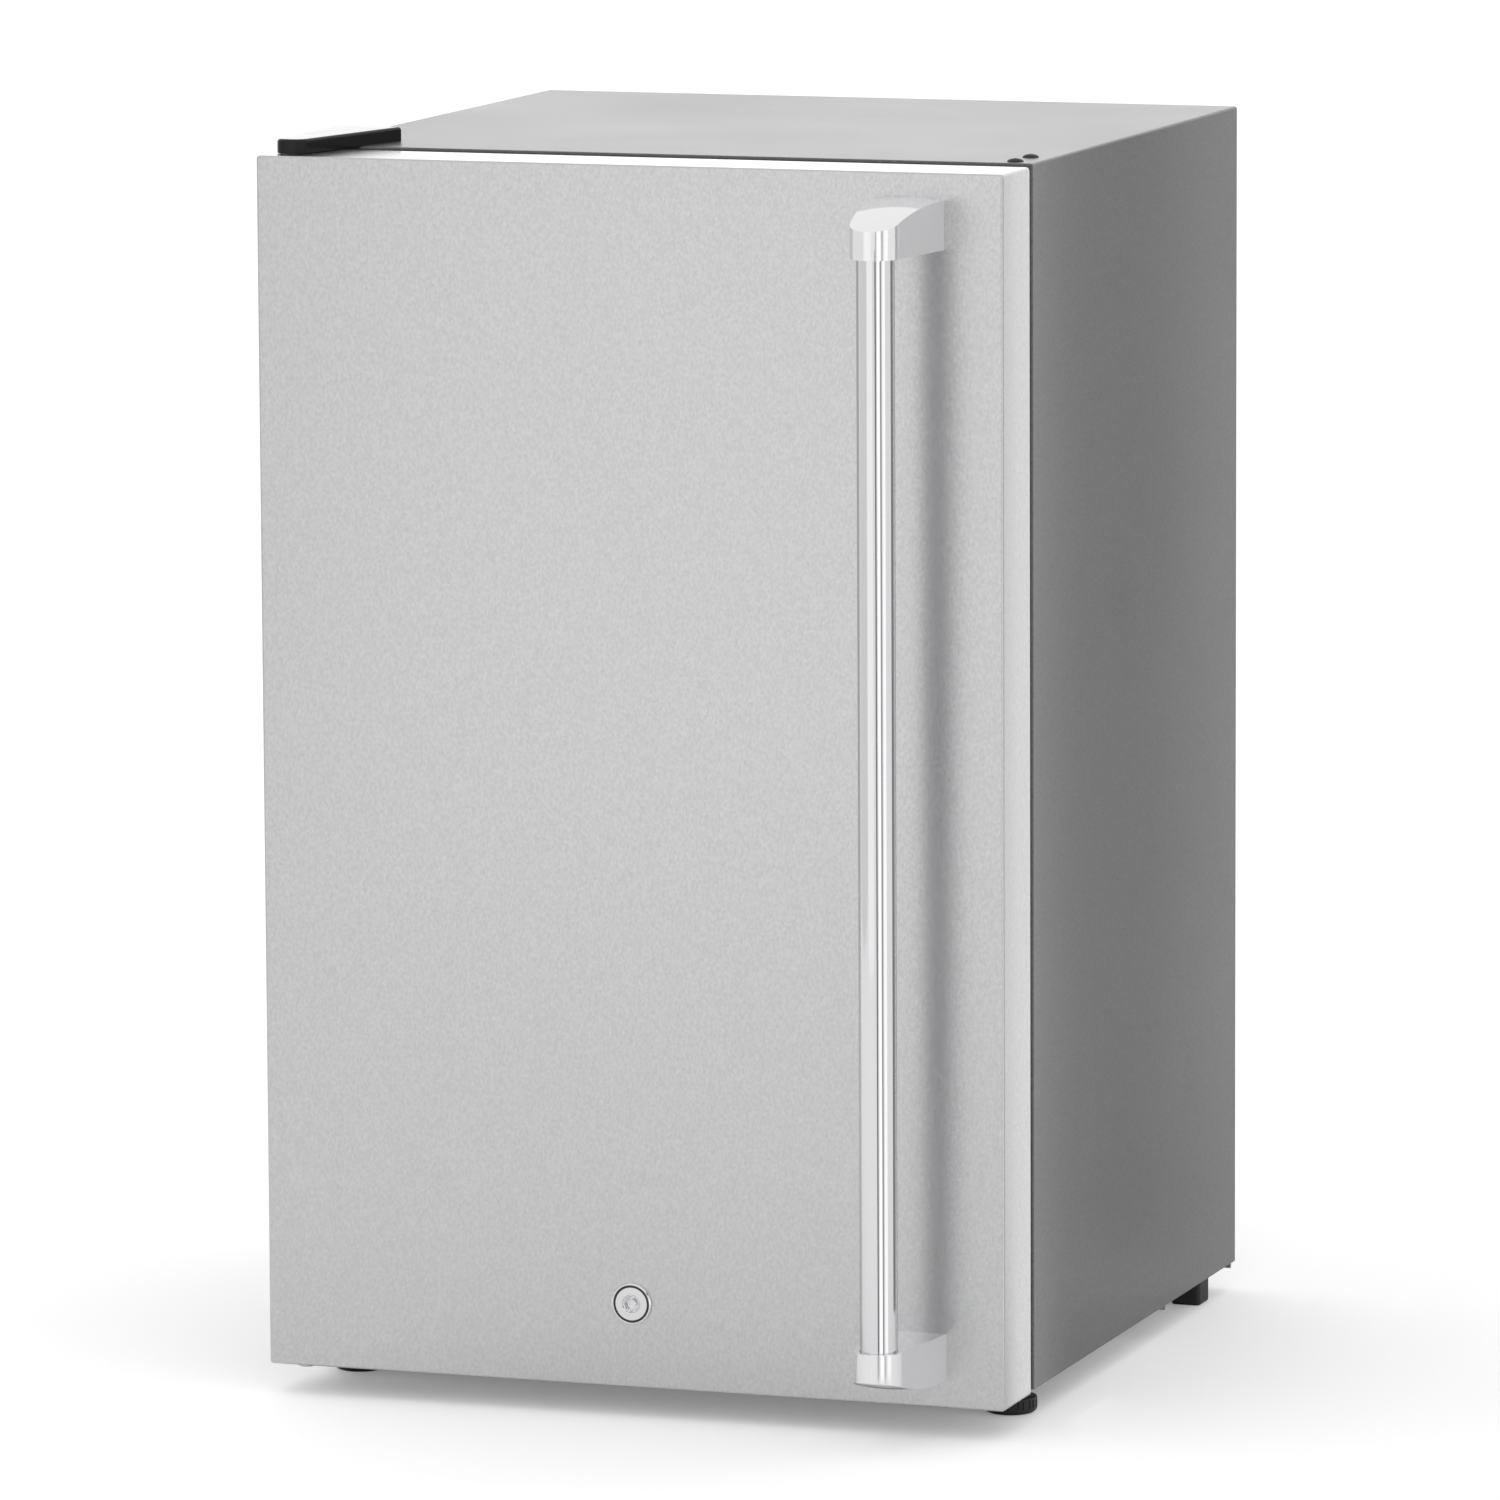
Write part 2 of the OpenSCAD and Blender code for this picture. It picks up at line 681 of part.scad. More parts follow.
module top_hinge_screws() {
    color([0.7, 0.7, 0.72]) hinge_screw_places() {
        rod_z([0, 0, cab_z1 + plate_t], screw_d * 0.85, 2.5);
        rod_z([0, 0, cab_z1 - 16], screw_d / 2, 16 + plate_t + 1);
    }
}

// Plan of the hinge cover, drawn in by w
module cover_plan(w) {
    polygon([[pin_x - 9 + w, pin_y - 4 + w], [pin_x - 4 + w / 2, pin_y - 12 + w],
        [pin_x + 7 - w / 2, pin_y - 12 + w], [pin_x + 13 - w, pin_y - 3 + w],
        [pin_x + 39 - w * 1.3, front_y + 48 - w], [pin_x - 9 + w, front_y + 48 - w]]);
}

module hinge_cover() {
    color([0.03, 0.03, 0.03]) difference() {
        translate([0, 0, cab_z1]) linear_extrude(cover_h) cover_plan(0);
        translate([0, 0, cab_z1 - 1]) linear_extrude(cover_h + 1 - cover_wall) cover_plan(cover_wall);
    }
}

module bottom_screw_places() {
    for (p = [[-8, 30], [26, 12]]) translate([pin_x + p[0] + 6, front_y + p[1], 0]) children();
}

module bottom_hinge_plate() {
    color([0.62, 0.63, 0.65]) difference() {
        translate([0, 0, cab_z0 - plate_t]) linear_extrude(plate_t) union() {
            hinge_plan();
            polygon([[pin_x + 8, front_y + 4], [pin_x + 40, front_y + 4],
                [pin_x + 40, front_y + 40], [pin_x + 8, front_y + 40]]);
        }
        rod_z([pin_x, pin_y, cab_z0 - 10], pin_d / 2, 20);
        rod_z([-foot_x, foot_y, cab_z0 - 10], stud_d / 2 + 1, 20);
        bottom_screw_places() rod_z([0, 0, cab_z0 - 10], screw_d / 2, 20);
    }
}

module bottom_hinge_pin() {
    color([0.7, 0.7, 0.72]) {
        rod_z([pin_x, pin_y, cab_z0 - plate_t], pin_d / 2, plate_t + pin_len + door_clear);
        rod_z([pin_x, pin_y, cab_z0 - plate_t - 1.5], pin_d / 2 + 1.5, 1.5);
    }
}

module bottom_hinge_screws() {
    color([0.7, 0.7, 0.72]) bottom_screw_places() {
        rod_z([0, 0, cab_z0 - plate_t - 2.5], screw_d * 0.85, 2.5);
        rod_z([0, 0, cab_z0 - plate_t - 1], screw_d / 2, 16);
    }
}

module hole_plugs() {
    color([0.04, 0.04, 0.04]) for (y = plug_y) translate([plug_x, y, 0]) {
        translate([0, 0, cab_z1]) rotate_extrude() polygon(concat([[0, 0], [5.5, 0]],
            [for (a = [0:15:90]) [2 + 3.5 * cos(a), 0.3 + 1.9 * sin(a)]], [[0, 2.2]]));
        rod_z([0, 0, cab_z1 - 6], 2.9, 6.5);
    }
}

// ---- interior ----

module shelf_glass() {
    color([0.75, 0.88, 0.85, 0.4]) for (z = shelf_z)
        span([-shelf_x + 1, shelf_x - 1], [shelf_front + 3, shelf_back - 3], [z + 1, z + 1 + glass_t]);
}

// Moulded strips on the front and rear edges of each glass
module shelf_trims() {
    color([0.93, 0.93, 0.93]) for (z = shelf_z, f = [0, 1]) {
        y0 = f == 0 ? shelf_front : shelf_back - 12;
        y1 = f == 0 ? shelf_front + 12 : shelf_back;
        difference() {
            span([-shelf_x, shelf_x], [y0, y1], [z, z + glass_t + 2.5]);
            span([-shelf_x + 1, shelf_x - 1], [f == 0 ? y0 + 3 : y0 - 1, f == 0 ? y1 + 1 : y1 - 3],
                [z + 1, z + 1 + glass_t]);
        }
    }
}

module lock_keeper() {
    x = window_x + 3;
    z = window_z + 8;
    color([0.66, 0.67, 0.68]) difference() {
        union() {
            span([-x - 2, x + 2], [keeper_y, keeper_y + keeper_t], [lock_z - z - 2, lock_z + z + 2]);
            span([-x, x], [keeper_y, keeper_y + 22], [lock_z - z, lock_z + z]);
        }
        span([-x + 1, x - 1], [keeper_y + keeper_t, keeper_y + 21], [lock_z - z + 1, lock_z + z - 1]);
        span([-slot_l, slot_r], [keeper_y - 1, keeper_y + keeper_t + 1],
            [lock_z - slot_h / 2, lock_z + slot_h / 2]);
    }
}

module control_housing() {
    t = 2;
    pivot_x = box_x0 + rocker_in;
    color([0.93, 0.93, 0.92]) difference() {
        union() {
            difference() {
                span([box_x0, box_x1], [box_y0, box_y1], [box_z0, box_z1]);
                span([box_x0 + t, box_x1 + 1], [box_y0 + t, box_y1 - t], [box_z0 + t, box_z1 - t]);
            }
            // Lugs that hold the rocker's pivots
            for (s = [-1, 1]) mirror_at_switch(s)
                span([box_x0 + 1, pivot_x + 3], [switch_hole, switch_hole + pivot_lug],
                    [knob_z - 4, knob_z + 4]);
        }
        rod_y([pivot_x, switch_y - switch_hole - pivot_lug - 1, knob_z], pivot_r + run,
            2 * (switch_hole + pivot_lug) + 2);
        span([box_x0 - 1, box_x0 + 5], [lens_y0, lens_y1], [box_z0 + 10, box_z1 - 10]);
        rod_x([box_x0 - 1, knob_y, knob_z], 3 + run, 5);
        span([box_x0 - 1, box_x0 + 5], [switch_y - switch_hole, switch_y + switch_hole],
            [knob_z - 12, knob_z + 12]);
    }
}

// Places a shape drawn in front of the switch's middle on that side or behind it
module mirror_at_switch(s) {
    translate([0, switch_y, 0]) mirror([0, s < 0 ? 1 : 0, 0]) children();
}

module thermostat() {
    color([0.75, 0.75, 0.74]) difference() {
        span([box_x0 + 6, box_x1 - 6], [knob_y - 17, knob_y + 17], [knob_z - 20, knob_z + 20]);
        rod_x([box_x0, knob_y, knob_z], 3 + run, 18);
    }
}

module thermostat_knob() {
    r = knob_d / 2;
    color([0.9, 0.9, 0.9]) translate([box_x0 - gap, knob_y, knob_z]) rotate([0, -90, 0]) {
        cylinder(r = r, h = 4, $fn = 64);
        translate([0, 0, 4]) cylinder(r = r - 3, h = 9, $fn = 64);
        translate([-3, -r + 3, 4]) cube([6, 2 * r - 6, 12]);
        translate([0, 0, -14]) cylinder(r = 3, h = 15);
    }
}

// Rocker of the lamp switch, tilted about the axis along its middle
module light_switch() {
    pivot_l = rocker_w + 2 * pivot_lug + 1;
    color([0.9, 0.9, 0.9]) translate([box_x0 + rocker_in, switch_y, knob_z]) {
        rotate([0, rocker_tilt, 0]) rotate([90, 0, 0]) translate([0, 0, -rocker_w / 2])
            linear_extrude(rocker_w)
                polygon([[-5.2, -10.8], [-4.2, 0], [-5.2, 10.8], [2, 8], [4, 0], [2, -8]]);
        rod_y([0, -pivot_l / 2, 0], pivot_r, pivot_l);
    }
}

module lamp_lens() {
    color([0.95, 0.95, 0.95, 0.6]) translate([box_x0, 0, 0]) {
        span([0, 2], [lens_y0 + 0.3, lens_y1 - 0.3], [box_z0 + 10.3, box_z1 - 10.3]);
        difference() {
            span([-1.2, 0], [lens_y0 - 2, lens_y1 + 2], [box_z0 + 8, box_z1 - 8]);
            span([-3, 0.5], [lens_y0 + 3, lens_y1 - 3], [box_z0 + 13, box_z1 - 13]);
        }
    }
}

module led_board() {
    x = box_x0 + 12;
    color([0.1, 0.4, 0.2]) span([x, x + 1.6], [lens_y0, lens_y1], [box_z0 + 10, box_z1 - 10]);
    color([0.98, 0.95, 0.7]) for (i = [0:3])
        span([x - 1.5, x], [(lens_y0 + lens_y1) / 2 - 3, (lens_y0 + lens_y1) / 2 + 3],
            [box_z0 + 18 + i * 14, box_z0 + 24 + i * 14]);
}

// ---- door ----

module handle_screw_places() {
    for (z = [br_bot + hscrew_dz, br_top - hscrew_dz], s = [-1, 1])
        translate([tube_x + s * hscrew_dx, 0, z]) children();
}

module door_skin() {
    color([0.78, 0.78, 0.79]) difference() {
        span([-door_x, door_x], [door_y, door_b], [door_z0, door_z1]);
        span([-door_x + sheet, door_x - sheet], [door_y + sheet, door_b - sheet],
            [door_z0 + sheet, door_z1 - sheet]);
        span([-door_x + skin_lip, door_x - skin_lip], [door_b - 5, door_b + 1],
            [door_z0 + skin_lip, door_z1 - skin_lip]);
        rod_y([0, door_y - 1, lock_z], barrel_d / 2 + 0.2, 10);
        handle_screw_places() rod_y([0, door_y - 1, 0], hscrew_d / 2 + 0.2, 10);
        for (z = [door_z0 - 1, door_z1 - 5]) rod_z([pin_x, pin_y, z], pin_d / 2 + 3, 6);
    }
}

module door_foam() {
    color([0.93, 0.86, 0.66]) difference() {
        union() {
            span([-door_x + sheet, door_x - sheet], [door_y + sheet, door_b - sheet - 1.5],
                [door_z0 + sheet, door_z1 - sheet]);
            ring_y(rim_x - 1.5, rim_z0 + 1.5, rim_z1 - 1.5, rim_w - 3, door_b - sheet - 2, rim_y - 1.5);
        }
        rod_y([0, door_y, lock_z], barrel_d / 2 + 0.2, door_t);
        handle_screw_places() rod_y([0, door_y, 0], hscrew_d / 2 + 2, 14);
        for (z = [br_bot + hscrew_dz, br_top - hscrew_dz])
            span([tube_x - 20, tube_x + 20], [door_y, door_y + sheet + 3], [z - 13, z + 13]);
        for (z = [door_z0 - 1, door_z1 - 19]) rod_z([pin_x, pin_y, z], pin_d / 2 + 4.5, 20);
    }
}

module door_liner() {
    y0 = door_b - sheet - 1.5;
    y1 = door_b - sheet;
    t = 1.5;
    color([0.95, 0.95, 0.94]) {
        difference() {
            union() {
                span([-door_x + sheet + 0.2, door_x - sheet - 0.2], [y0, y1],
                    [door_z0 + sheet + 0.2, door_z1 - sheet - 0.2]);
                ring_y(rim_x, rim_z0, rim_z1, rim_w, y0, rim_y);
            }
            ring_y(rim_x - t, rim_z0 + t, rim_z1 - t, rim_w - 2 * t, y0 - 1, rim_y - t);
            rod_y([0, y0 - 5, lock_z], barrel_d / 2 + 0.2, 10);
        }
        // Lugs that carry the bins
        for (i = [0:2], s = [-1, 1]) mirror([s < 0 ? 1 : 0, 0, 0])
            span([rim_in - 4.5, rim_in + 0.5], [door_b + 6, door_b + 30],
                [bin_z[i] + bin_h[i] - 34, bin_z[i] + bin_h[i] - 26]);
    }
}

module door_gasket() {
    y0 = door_b;
    y1 = front_y - 0.3;
    color([0.05, 0.05, 0.05]) difference() {
        union() {
            ring_y(gask_x, gask_z0, gask_z1, gasket_w, y1 - 8, y1);
            ring_y(gask_x - 4, gask_z0 + 4, gask_z1 - 4, gasket_w - 8, y0, y1 - 2);
        }
        ring_y(gask_x - 4, gask_z0 + 4, gask_z1 - 4, gasket_w - 8, y1 - 6.5, y1 - 1.5);
    }
}

module gasket_magnets() {
    x = gask_x - 5;
    w = gasket_w - 10;
    y1 = front_y - 0.3 - 1.8;
    color([0.25, 0.2, 0.18]) {
        for (s = [-1, 1]) mirror([s < 0 ? 1 : 0, 0, 0])
            span([x - w, x], [y1 - 4, y1], [gask_z0 + 20, gask_z1 - 20]);
        for (z = [gask_z0 + 5, gask_z1 - 5 - w])
            span([-x + w + 6, x - w - 6], [y1 - 4, y1], [z, z + w]);
    }
}

module hinge_bushes() {
    color([0.9, 0.9, 0.88]) for (i = [0, 1]) {
        z = i == 0 ? door_z0 : door_z1 - 17;
        difference() {
            union() {
                rod_z([pin_x, pin_y, z], pin_d / 2 + 2.9, 17);
                rod_z([pin_x, pin_y, i == 0 ? z + sheet : z + 13 - sheet], pin_d / 2 + 4.4, 4);
            }
            rod_z([pin_x, pin_y, i == 0 ? z - 1 : z + 2], pin_d / 2 + run, 16);
        }
    }
}

// Door bin: open tray with an ear on each side that hangs over a lug
module door_bin(i) {
    z0 = bin_z[i];
    z1 = z0 + bin_h[i];
    y1 = door_b + bin_d;
    ear_z = z1 - 26;
    t = bin_t;
    color([0.93, 0.93, 0.93]) {
        difference() {
            span([-bin_x, bin_x], [bin_y0, y1], [z0, z1]);
            span([-bin_x + t, bin_x - t], [bin_y0 + t, y1 - t], [z0 + t, z1 + 1]);
            span([-bin_x - 1, bin_x + 1], [bin_y0 - 1, bin_y0 + t + 1], [z1 - 12, z1 + 1]);
        }
        for (s = [-1, 1]) mirror([s < 0 ? 1 : 0, 0, 0])
            span([bin_x - 1, rim_in - 0.5], [door_b + 4, door_b + 32], [ear_z, ear_z + 12]);
    }
}

module door_bin_bottom() { door_bin(0); }
module door_bin_middle() { door_bin(1); }
module door_bin_top() { door_bin(2); }

module handle_tube() {
    z0 = br_bot + bracket_h - socket;
    z1 = br_top - bracket_h + socket;
    color([0.88, 0.88, 0.89]) difference() {
        rod_z([tube_x, tube_y, z0], tube_d / 2, z1 - z0, $fn = 64);
        rod_z([tube_x, tube_y, z0 - 1], tube_d / 2 - tube_wall, z1 - z0 + 2, $fn = 64);
    }
}

// Bracket with its flat side at z = 0 and its domed side up; top bracket as drawn
module handle_bracket() {
    r = collar_d / 2;
    difference() {
        intersection() {
            union() {
                rod_z([0, 0, 0], r, bracket_h, $fn = 64);
                linear_extrude(bracket_h) polygon([[-r + 0.1, 0], [r - 0.1, 0],
                    [bracket_w / 2, tube_out], [-bracket_w / 2, tube_out]]);
            }
            // Side profile: level at the door and falling more and more towards the collar
            rotate([90, 0, 90]) translate([0, 0, -bracket_w]) linear_extrude(2 * bracket_w)
                polygon(concat([[tube_out, 0], [-r, 0]],
                    [for (i = [12:-1:0]) [tube_out - reach * i / 12,
                        bracket_h - arch_drop * pow(i / 12, 2.2)]]));
        }
        rod_z([0, 0, -1], tube_d / 2, socket + 1, $fn = 64);
        for (s = [-1, 1]) rod_y([s * hscrew_dx, tube_out - 16, bracket_h - hscrew_dz], hscrew_d / 2, 20);
    }
}

module handle_bracket_top() {
    color([0.9, 0.9, 0.91]) translate([tube_x, tube_y, br_top - bracket_h]) handle_bracket();
}

module handle_bracket_bottom() {
    color([0.9, 0.9, 0.91]) translate([tube_x, tube_y, br_bot + bracket_h])
        mirror([0, 0, 1]) handle_bracket();
}

module handle_plates() {
    color([0.6, 0.6, 0.62]) difference() {
        for (z = [br_bot + hscrew_dz, br_top - hscrew_dz])
            span([tube_x - 19, tube_x + 19], [door_y + sheet, door_y + sheet + 2.5], [z - 12, z + 12]);
        handle_screw_places() rod_y([0, door_y, 0], hscrew_d / 2, 10);
    }
}

module handle_screws() {
    color([0.7, 0.7, 0.72]) handle_screw_places() {
        rod_y([0, door_y - 14, 0], hscrew_d / 2, 14 + sheet + 3);
        rod_y([0, door_y + sheet + 2.5, 0], 4, 3);
    }
}

module lock_body() {
    r = bezel_d / 2;
    color([0.85, 0.85, 0.86]) difference() {
        union() {
            translate([0, door_y, lock_z]) rotate([90, 0, 0]) rotate_extrude($fn = 64)
                polygon([[0, 0], [r, 0], [r, 1.6], [r - 0.8, 2.4], [r - 1.5, 2.4], [r - 1.9, 1.4],
                    [r - 2.2, 1.4], [r - 2.6, 2.2], [0, 2.2]]);
            rod_y([0, door_y, lock_z], barrel_d / 2, door_t + 6);
        }
        rod_y([0, door_y - 5, lock_z], core_d / 2 + run, door_t + 20);
    }
}

module lock_nut() {
    color([0.7, 0.7, 0.72]) difference() {
        translate([0, door_b - sheet + 0.2, lock_z]) rotate([-90, 0, 0])
            cylinder(r = 14, h = 4.5, $fn = 6);
        rod_y([0, door_b - 3, lock_z], barrel_d / 2, 12);
    }
}

module lock_cylinder() {
    r = core_d / 2;
    color([0.8, 0.8, 0.81]) difference() {
        union() {
            rod_y([0, door_y - 2, lock_z], r, door_t + 9);
            rod_y([0, door_b + 6, lock_z], r - 1, cam_y + cam_t + 2 - door_b - 6);
        }
        // Ring keyway with its notch
        difference() {
            rod_y([0, door_y - 3, lock_z], r - 1, 7);
            rod_y([0, door_y - 4, lock_z], r - 3, 9);
        }
        span([-0.8, 0.8], [door_y - 3, door_y + 4], [lock_z - r + 0.3, lock_z - r + 1.5]);
    }
}

module lock_cam() {
    color([0.62, 0.63, 0.65]) difference() {
        translate([0, cam_y, lock_z]) rotate([-90, 0, 0])
            slab(cam_l, cam_w, 2, 0, cam_t);
        rod_y([0, cam_y - 1, lock_z], core_d / 2 - 1, cam_t + 2);
    }
}

outer_shell();
back_panel();
front_rail();
bottom_pan();
cabinet_foam();
inner_liner();
shelf_ledges();
evaporator_plate();
compressor();
compressor_grommets();
start_relay();
base_plate();
rear_feet();
foot_inserts();
condenser_tube();
condenser_wires();
condenser_clips();
filter_drier();
refrigerant_lines();
drip_tray();
drain_tube();
cord_gland();
top_hinge_plate();
top_hinge_pin();
top_hinge_screws();
hinge_cover();
bottom_hinge_plate();
bottom_hinge_pin();
bottom_hinge_screws();
hole_plugs();
lock_keeper();
shelf_glass();
shelf_trims();
control_housing();
thermostat();
lamp_lens();
led_board();
thermostat_knob();
light_switch();
front_foot_left();
front_foot_right();
door_skin();
door_foam();
door_liner();
door_gasket();
gasket_magnets();
hinge_bushes();
door_bin_top();
door_bin_middle();
door_bin_bottom();
handle_tube();
handle_bracket_top();
handle_bracket_bottom();
handle_plates();
handle_screws();
lock_body();
lock_nut();
lock_cylinder();
lock_cam();
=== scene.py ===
"""Looks of a compact undercounter refrigerator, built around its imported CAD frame."""

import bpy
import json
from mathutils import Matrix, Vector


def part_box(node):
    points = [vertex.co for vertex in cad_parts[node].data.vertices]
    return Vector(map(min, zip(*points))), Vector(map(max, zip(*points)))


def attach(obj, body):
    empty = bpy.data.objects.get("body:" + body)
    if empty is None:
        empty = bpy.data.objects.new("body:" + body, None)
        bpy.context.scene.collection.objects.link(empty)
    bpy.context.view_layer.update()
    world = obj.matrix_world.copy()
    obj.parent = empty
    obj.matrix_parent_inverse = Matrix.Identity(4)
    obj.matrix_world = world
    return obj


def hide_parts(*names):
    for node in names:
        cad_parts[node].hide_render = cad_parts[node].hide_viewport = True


bl_info = {
    "name": "Undercounter refrigerator",
    "version": (1, 0, 0),
    "blender": (4, 5, 0),
    "location": "View3D > Sidebar > Refrigerator",
    "description": "Models the refrigerator's visible pieces, their finishes and a plain studio",
    "category": "Object",
}

import json
from math import cos, pi, radians, sin

import bmesh
import bpy
from bpy.props import FloatProperty, FloatVectorProperty, IntProperty, PointerProperty
from mathutils import Matrix, Vector

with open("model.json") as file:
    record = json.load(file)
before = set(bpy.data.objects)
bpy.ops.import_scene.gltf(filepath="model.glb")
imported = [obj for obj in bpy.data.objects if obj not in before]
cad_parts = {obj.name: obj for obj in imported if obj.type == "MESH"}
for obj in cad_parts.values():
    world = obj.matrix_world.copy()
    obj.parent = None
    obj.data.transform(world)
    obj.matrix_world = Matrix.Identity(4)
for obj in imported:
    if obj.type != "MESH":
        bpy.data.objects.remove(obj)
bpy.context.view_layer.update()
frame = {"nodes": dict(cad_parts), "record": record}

MM = 0.001
WELD = 1e-6
SLOT_COLOUR = {m["slot"]: tuple(m["base_color"][:3]) for m in frame["record"]["materials"]}


# ---- sizes, colours and studio values that a user would change ----

def length(name, about, mm):
    return FloatProperty(name=name, description=about, default=mm * MM, min=0.0, unit="LENGTH")


def colour(name, about, slot):
    return FloatVectorProperty(name=name, description=about, default=SLOT_COLOUR[slot],
                               subtype="COLOR", size=3, min=0.0, max=1.0)


class FridgeSizes(bpy.types.PropertyGroup):
    door_fold: length("Door fold", "Radius of the door panel's folded edges", 1.6)
    door_corner: length("Door corner", "Radius of the door panel's four corners", 2.2)
    door_lip: length("Door lip", "Width of the door panel's rear lip", 11)
    sheet: length("Sheet", "Thickness of the outer sheet metal", 1)
    shell_edge: length("Shell edge", "Radius of the cabinet's folded edges", 1.8)
    front_return: length("Front return", "Width of the cabinet's front flange", 30)
    back_return: length("Back return", "Width of the cabinet's rear flange", 12)
    liner_wall: length("Liner wall", "Thickness of the inner liner", 2)
    liner_round: length("Liner round", "Radius of the inner liner's corners", 12)
    bracket_height: length("Bracket height", "Height of a handle bracket at the door", 34)
    bracket_fall: length("Bracket fall", "Fall of a bracket's outer face to its nose", 15)
    bracket_crown: length("Bracket crown", "Crown across a bracket's outer face", 2)
    socket_gap: length("Socket gap", "Gap between the handle tube and its sockets", 0.3)
    round_sides: IntProperty(name="Round sides", description="Sides of the large round pieces",
                             default=64, min=16, max=128)


class FridgeColours(bpy.types.PropertyGroup):
    paint: colour("Paint", "Powder coat of the cabinet", "cabinet_paint")
    steel: colour("Steel", "Brushed stainless door", "stainless")
    polish: colour("Polish", "Polished handle and lock", "polished")
    zinc: colour("Zinc", "Plated steel fittings", "zinc_steel")
    gloss_black: colour("Gloss black", "Hinge cover", "black_gloss")
    black: colour("Black", "Moulded feet and clips", "black_matte")
    rubber: colour("Rubber", "Gasket, grommets and plugs", "rubber_black")
    white: colour("White", "Liners, bins and control box", "white_plastic")
    foam: colour("Foam", "Insulation", "foam")
    enamel: colour("Enamel", "Compressor and condenser", "black_enamel")
    copper: colour("Copper", "Refrigerant lines", "copper")
    aluminium: colour("Aluminium", "Evaporator plate", "aluminium_sheet")
    floor: FloatVectorProperty(name="Floor", description="Studio floor", subtype="COLOR", size=3,
                               default=(0.93, 0.93, 0.93), min=0.0, max=1.0)


class FridgeStudio(bpy.types.PropertyGroup):
    distance: FloatProperty(name="Camera distance", description="Camera to its target",
                            default=6.8614, unit="LENGTH")
    target_x: FloatProperty(name="Target X", description="Target right of the middle",
                            default=0.08491, unit="LENGTH")
    target_up: FloatProperty(name="Target height", description="Target above the door's bottom",
                             default=0.43265, unit="LENGTH")
    yaw: FloatProperty(name="Yaw", description="Camera's turn to the right of the door",
                       default=radians(19.284), subtype="ANGLE")
    pitch: FloatProperty(name="Pitch", description="Camera's tilt downwards",
                         default=radians(8.298), subtype="ANGLE")
    roll: FloatProperty(name="Roll", description="Camera's roll", default=radians(-0.287),
                        subtype="ANGLE")
    lens: FloatProperty(name="Lens", description="Focal length in millimetres", default=250.56)
    floor_lift: FloatProperty(name="Floor lift", default=0.2, min=0.0,
                              description="Light added to the floor where the camera sees it")


def sizes():
    return bpy.context.scene.fridge_sizes


# ---- places from the frame ----

class Span:
    """Lowest, highest and middle coordinates of a CAD node"""

    def __init__(self, node):
        low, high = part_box(node)
        self.x0, self.y0, self.z0 = low
        self.x1, self.y1, self.z1 = high
        self.x, self.y, self.z = (low + high) / 2


# ---- modelling ----

AXES = {"X": (1, 2, 0), "Y": (0, 2, 1), "Z": (0, 1, 2)}
TURNS = {"X": (pi / 2, 0, pi / 2), "Y": (pi / 2, 0, 0), "Z": (0, 0, 0)}


def vector(axis, a, b, along):
    """World vector from its two parts across an axis and its part along it"""
    v = [0.0, 0.0, 0.0]
    for i, value in zip(AXES[axis], (a, b, along)):
        v[i] = value
    return tuple(v)


def clear():
    if bpy.context.mode != "OBJECT":
        bpy.ops.object.mode_set(mode="OBJECT")
    bpy.ops.object.select_all(action="DESELECT")


def hold(*pieces):
    clear()
    for p in pieces:
        p.select_set(True)
    bpy.context.view_layer.objects.active = pieces[0]


def edit(piece):
    hold(piece)
    bpy.ops.object.mode_set(mode="EDIT")
    bpy.ops.mesh.select_mode(type="VERT")
    bpy.ops.mesh.select_all(action="SELECT")


def settle(piece):
    """Leaves edit mode and puts the piece's place into its mesh"""
    hold(piece)
    bpy.ops.object.transform_apply(location=True, rotation=True, scale=True)
    return piece


def pick(kind, test):
    """Selects only those vertices, edges or faces of the edited mesh that pass the test"""
    bpy.ops.mesh.select_mode(type=kind)
    bpy.ops.mesh.select_all(action="DESELECT")
    data = bpy.context.edit_object.data
    mesh = bmesh.from_edit_mesh(data)
    for item in {"VERT": mesh.verts, "EDGE": mesh.edges, "FACE": mesh.faces}[kind]:
        if test(item):
            item.select_set(True)
    mesh.select_flush_mode()
    bmesh.update_edit_mesh(data)


def extrude(shift):
    bpy.ops.mesh.extrude_region_move(TRANSFORM_OT_translate={"value": shift})


def resize(factors, centre):
    bpy.ops.transform.resize(value=factors, center_override=centre)


def outward(piece):
    edit(piece)
    bpy.ops.mesh.remove_doubles(threshold=WELD)
    bpy.ops.mesh.normals_make_consistent(inside=False)
    return settle(piece)


def modify(piece, kind, **values):
    hold(piece)
    bpy.ops.object.modifier_add(type=kind)
    m = piece.modifiers[-1]
    for key, value in values.items():
        setattr(m, key, value)
    bpy.ops.object.modifier_apply(modifier=m.name)
    return piece


def ease(piece, width, segments=3, angle=35):
    """Rounds every edge that is sharper than the angle"""
    return modify(piece, "BEVEL", width=width, segments=segments, limit_method="ANGLE",
                  angle_limit=radians(angle), miter_outer="MITER_ARC")


def wall(piece, thickness):
    return modify(piece, "SOLIDIFY", thickness=thickness, offset=-1.0, use_even_offset=True)


def cut(piece, tool):
    modify(piece, "BOOLEAN", object=tool, operation="DIFFERENCE", solver="EXACT")
    bpy.data.objects.remove(tool)
    return piece


def join(pieces):
    hold(*pieces)
    bpy.ops.object.join()
    return bpy.context.object


def copy_of(piece, shift=(0, 0, 0), scale=(1, 1, 1)):
    hold(piece)
    bpy.ops.object.duplicate(linked=False)
    c = bpy.context.object
    c.location = shift
    c.scale = scale
    settle(c)
    if scale[0] * scale[1] * scale[2] < 0:
        outward(c)
    return c


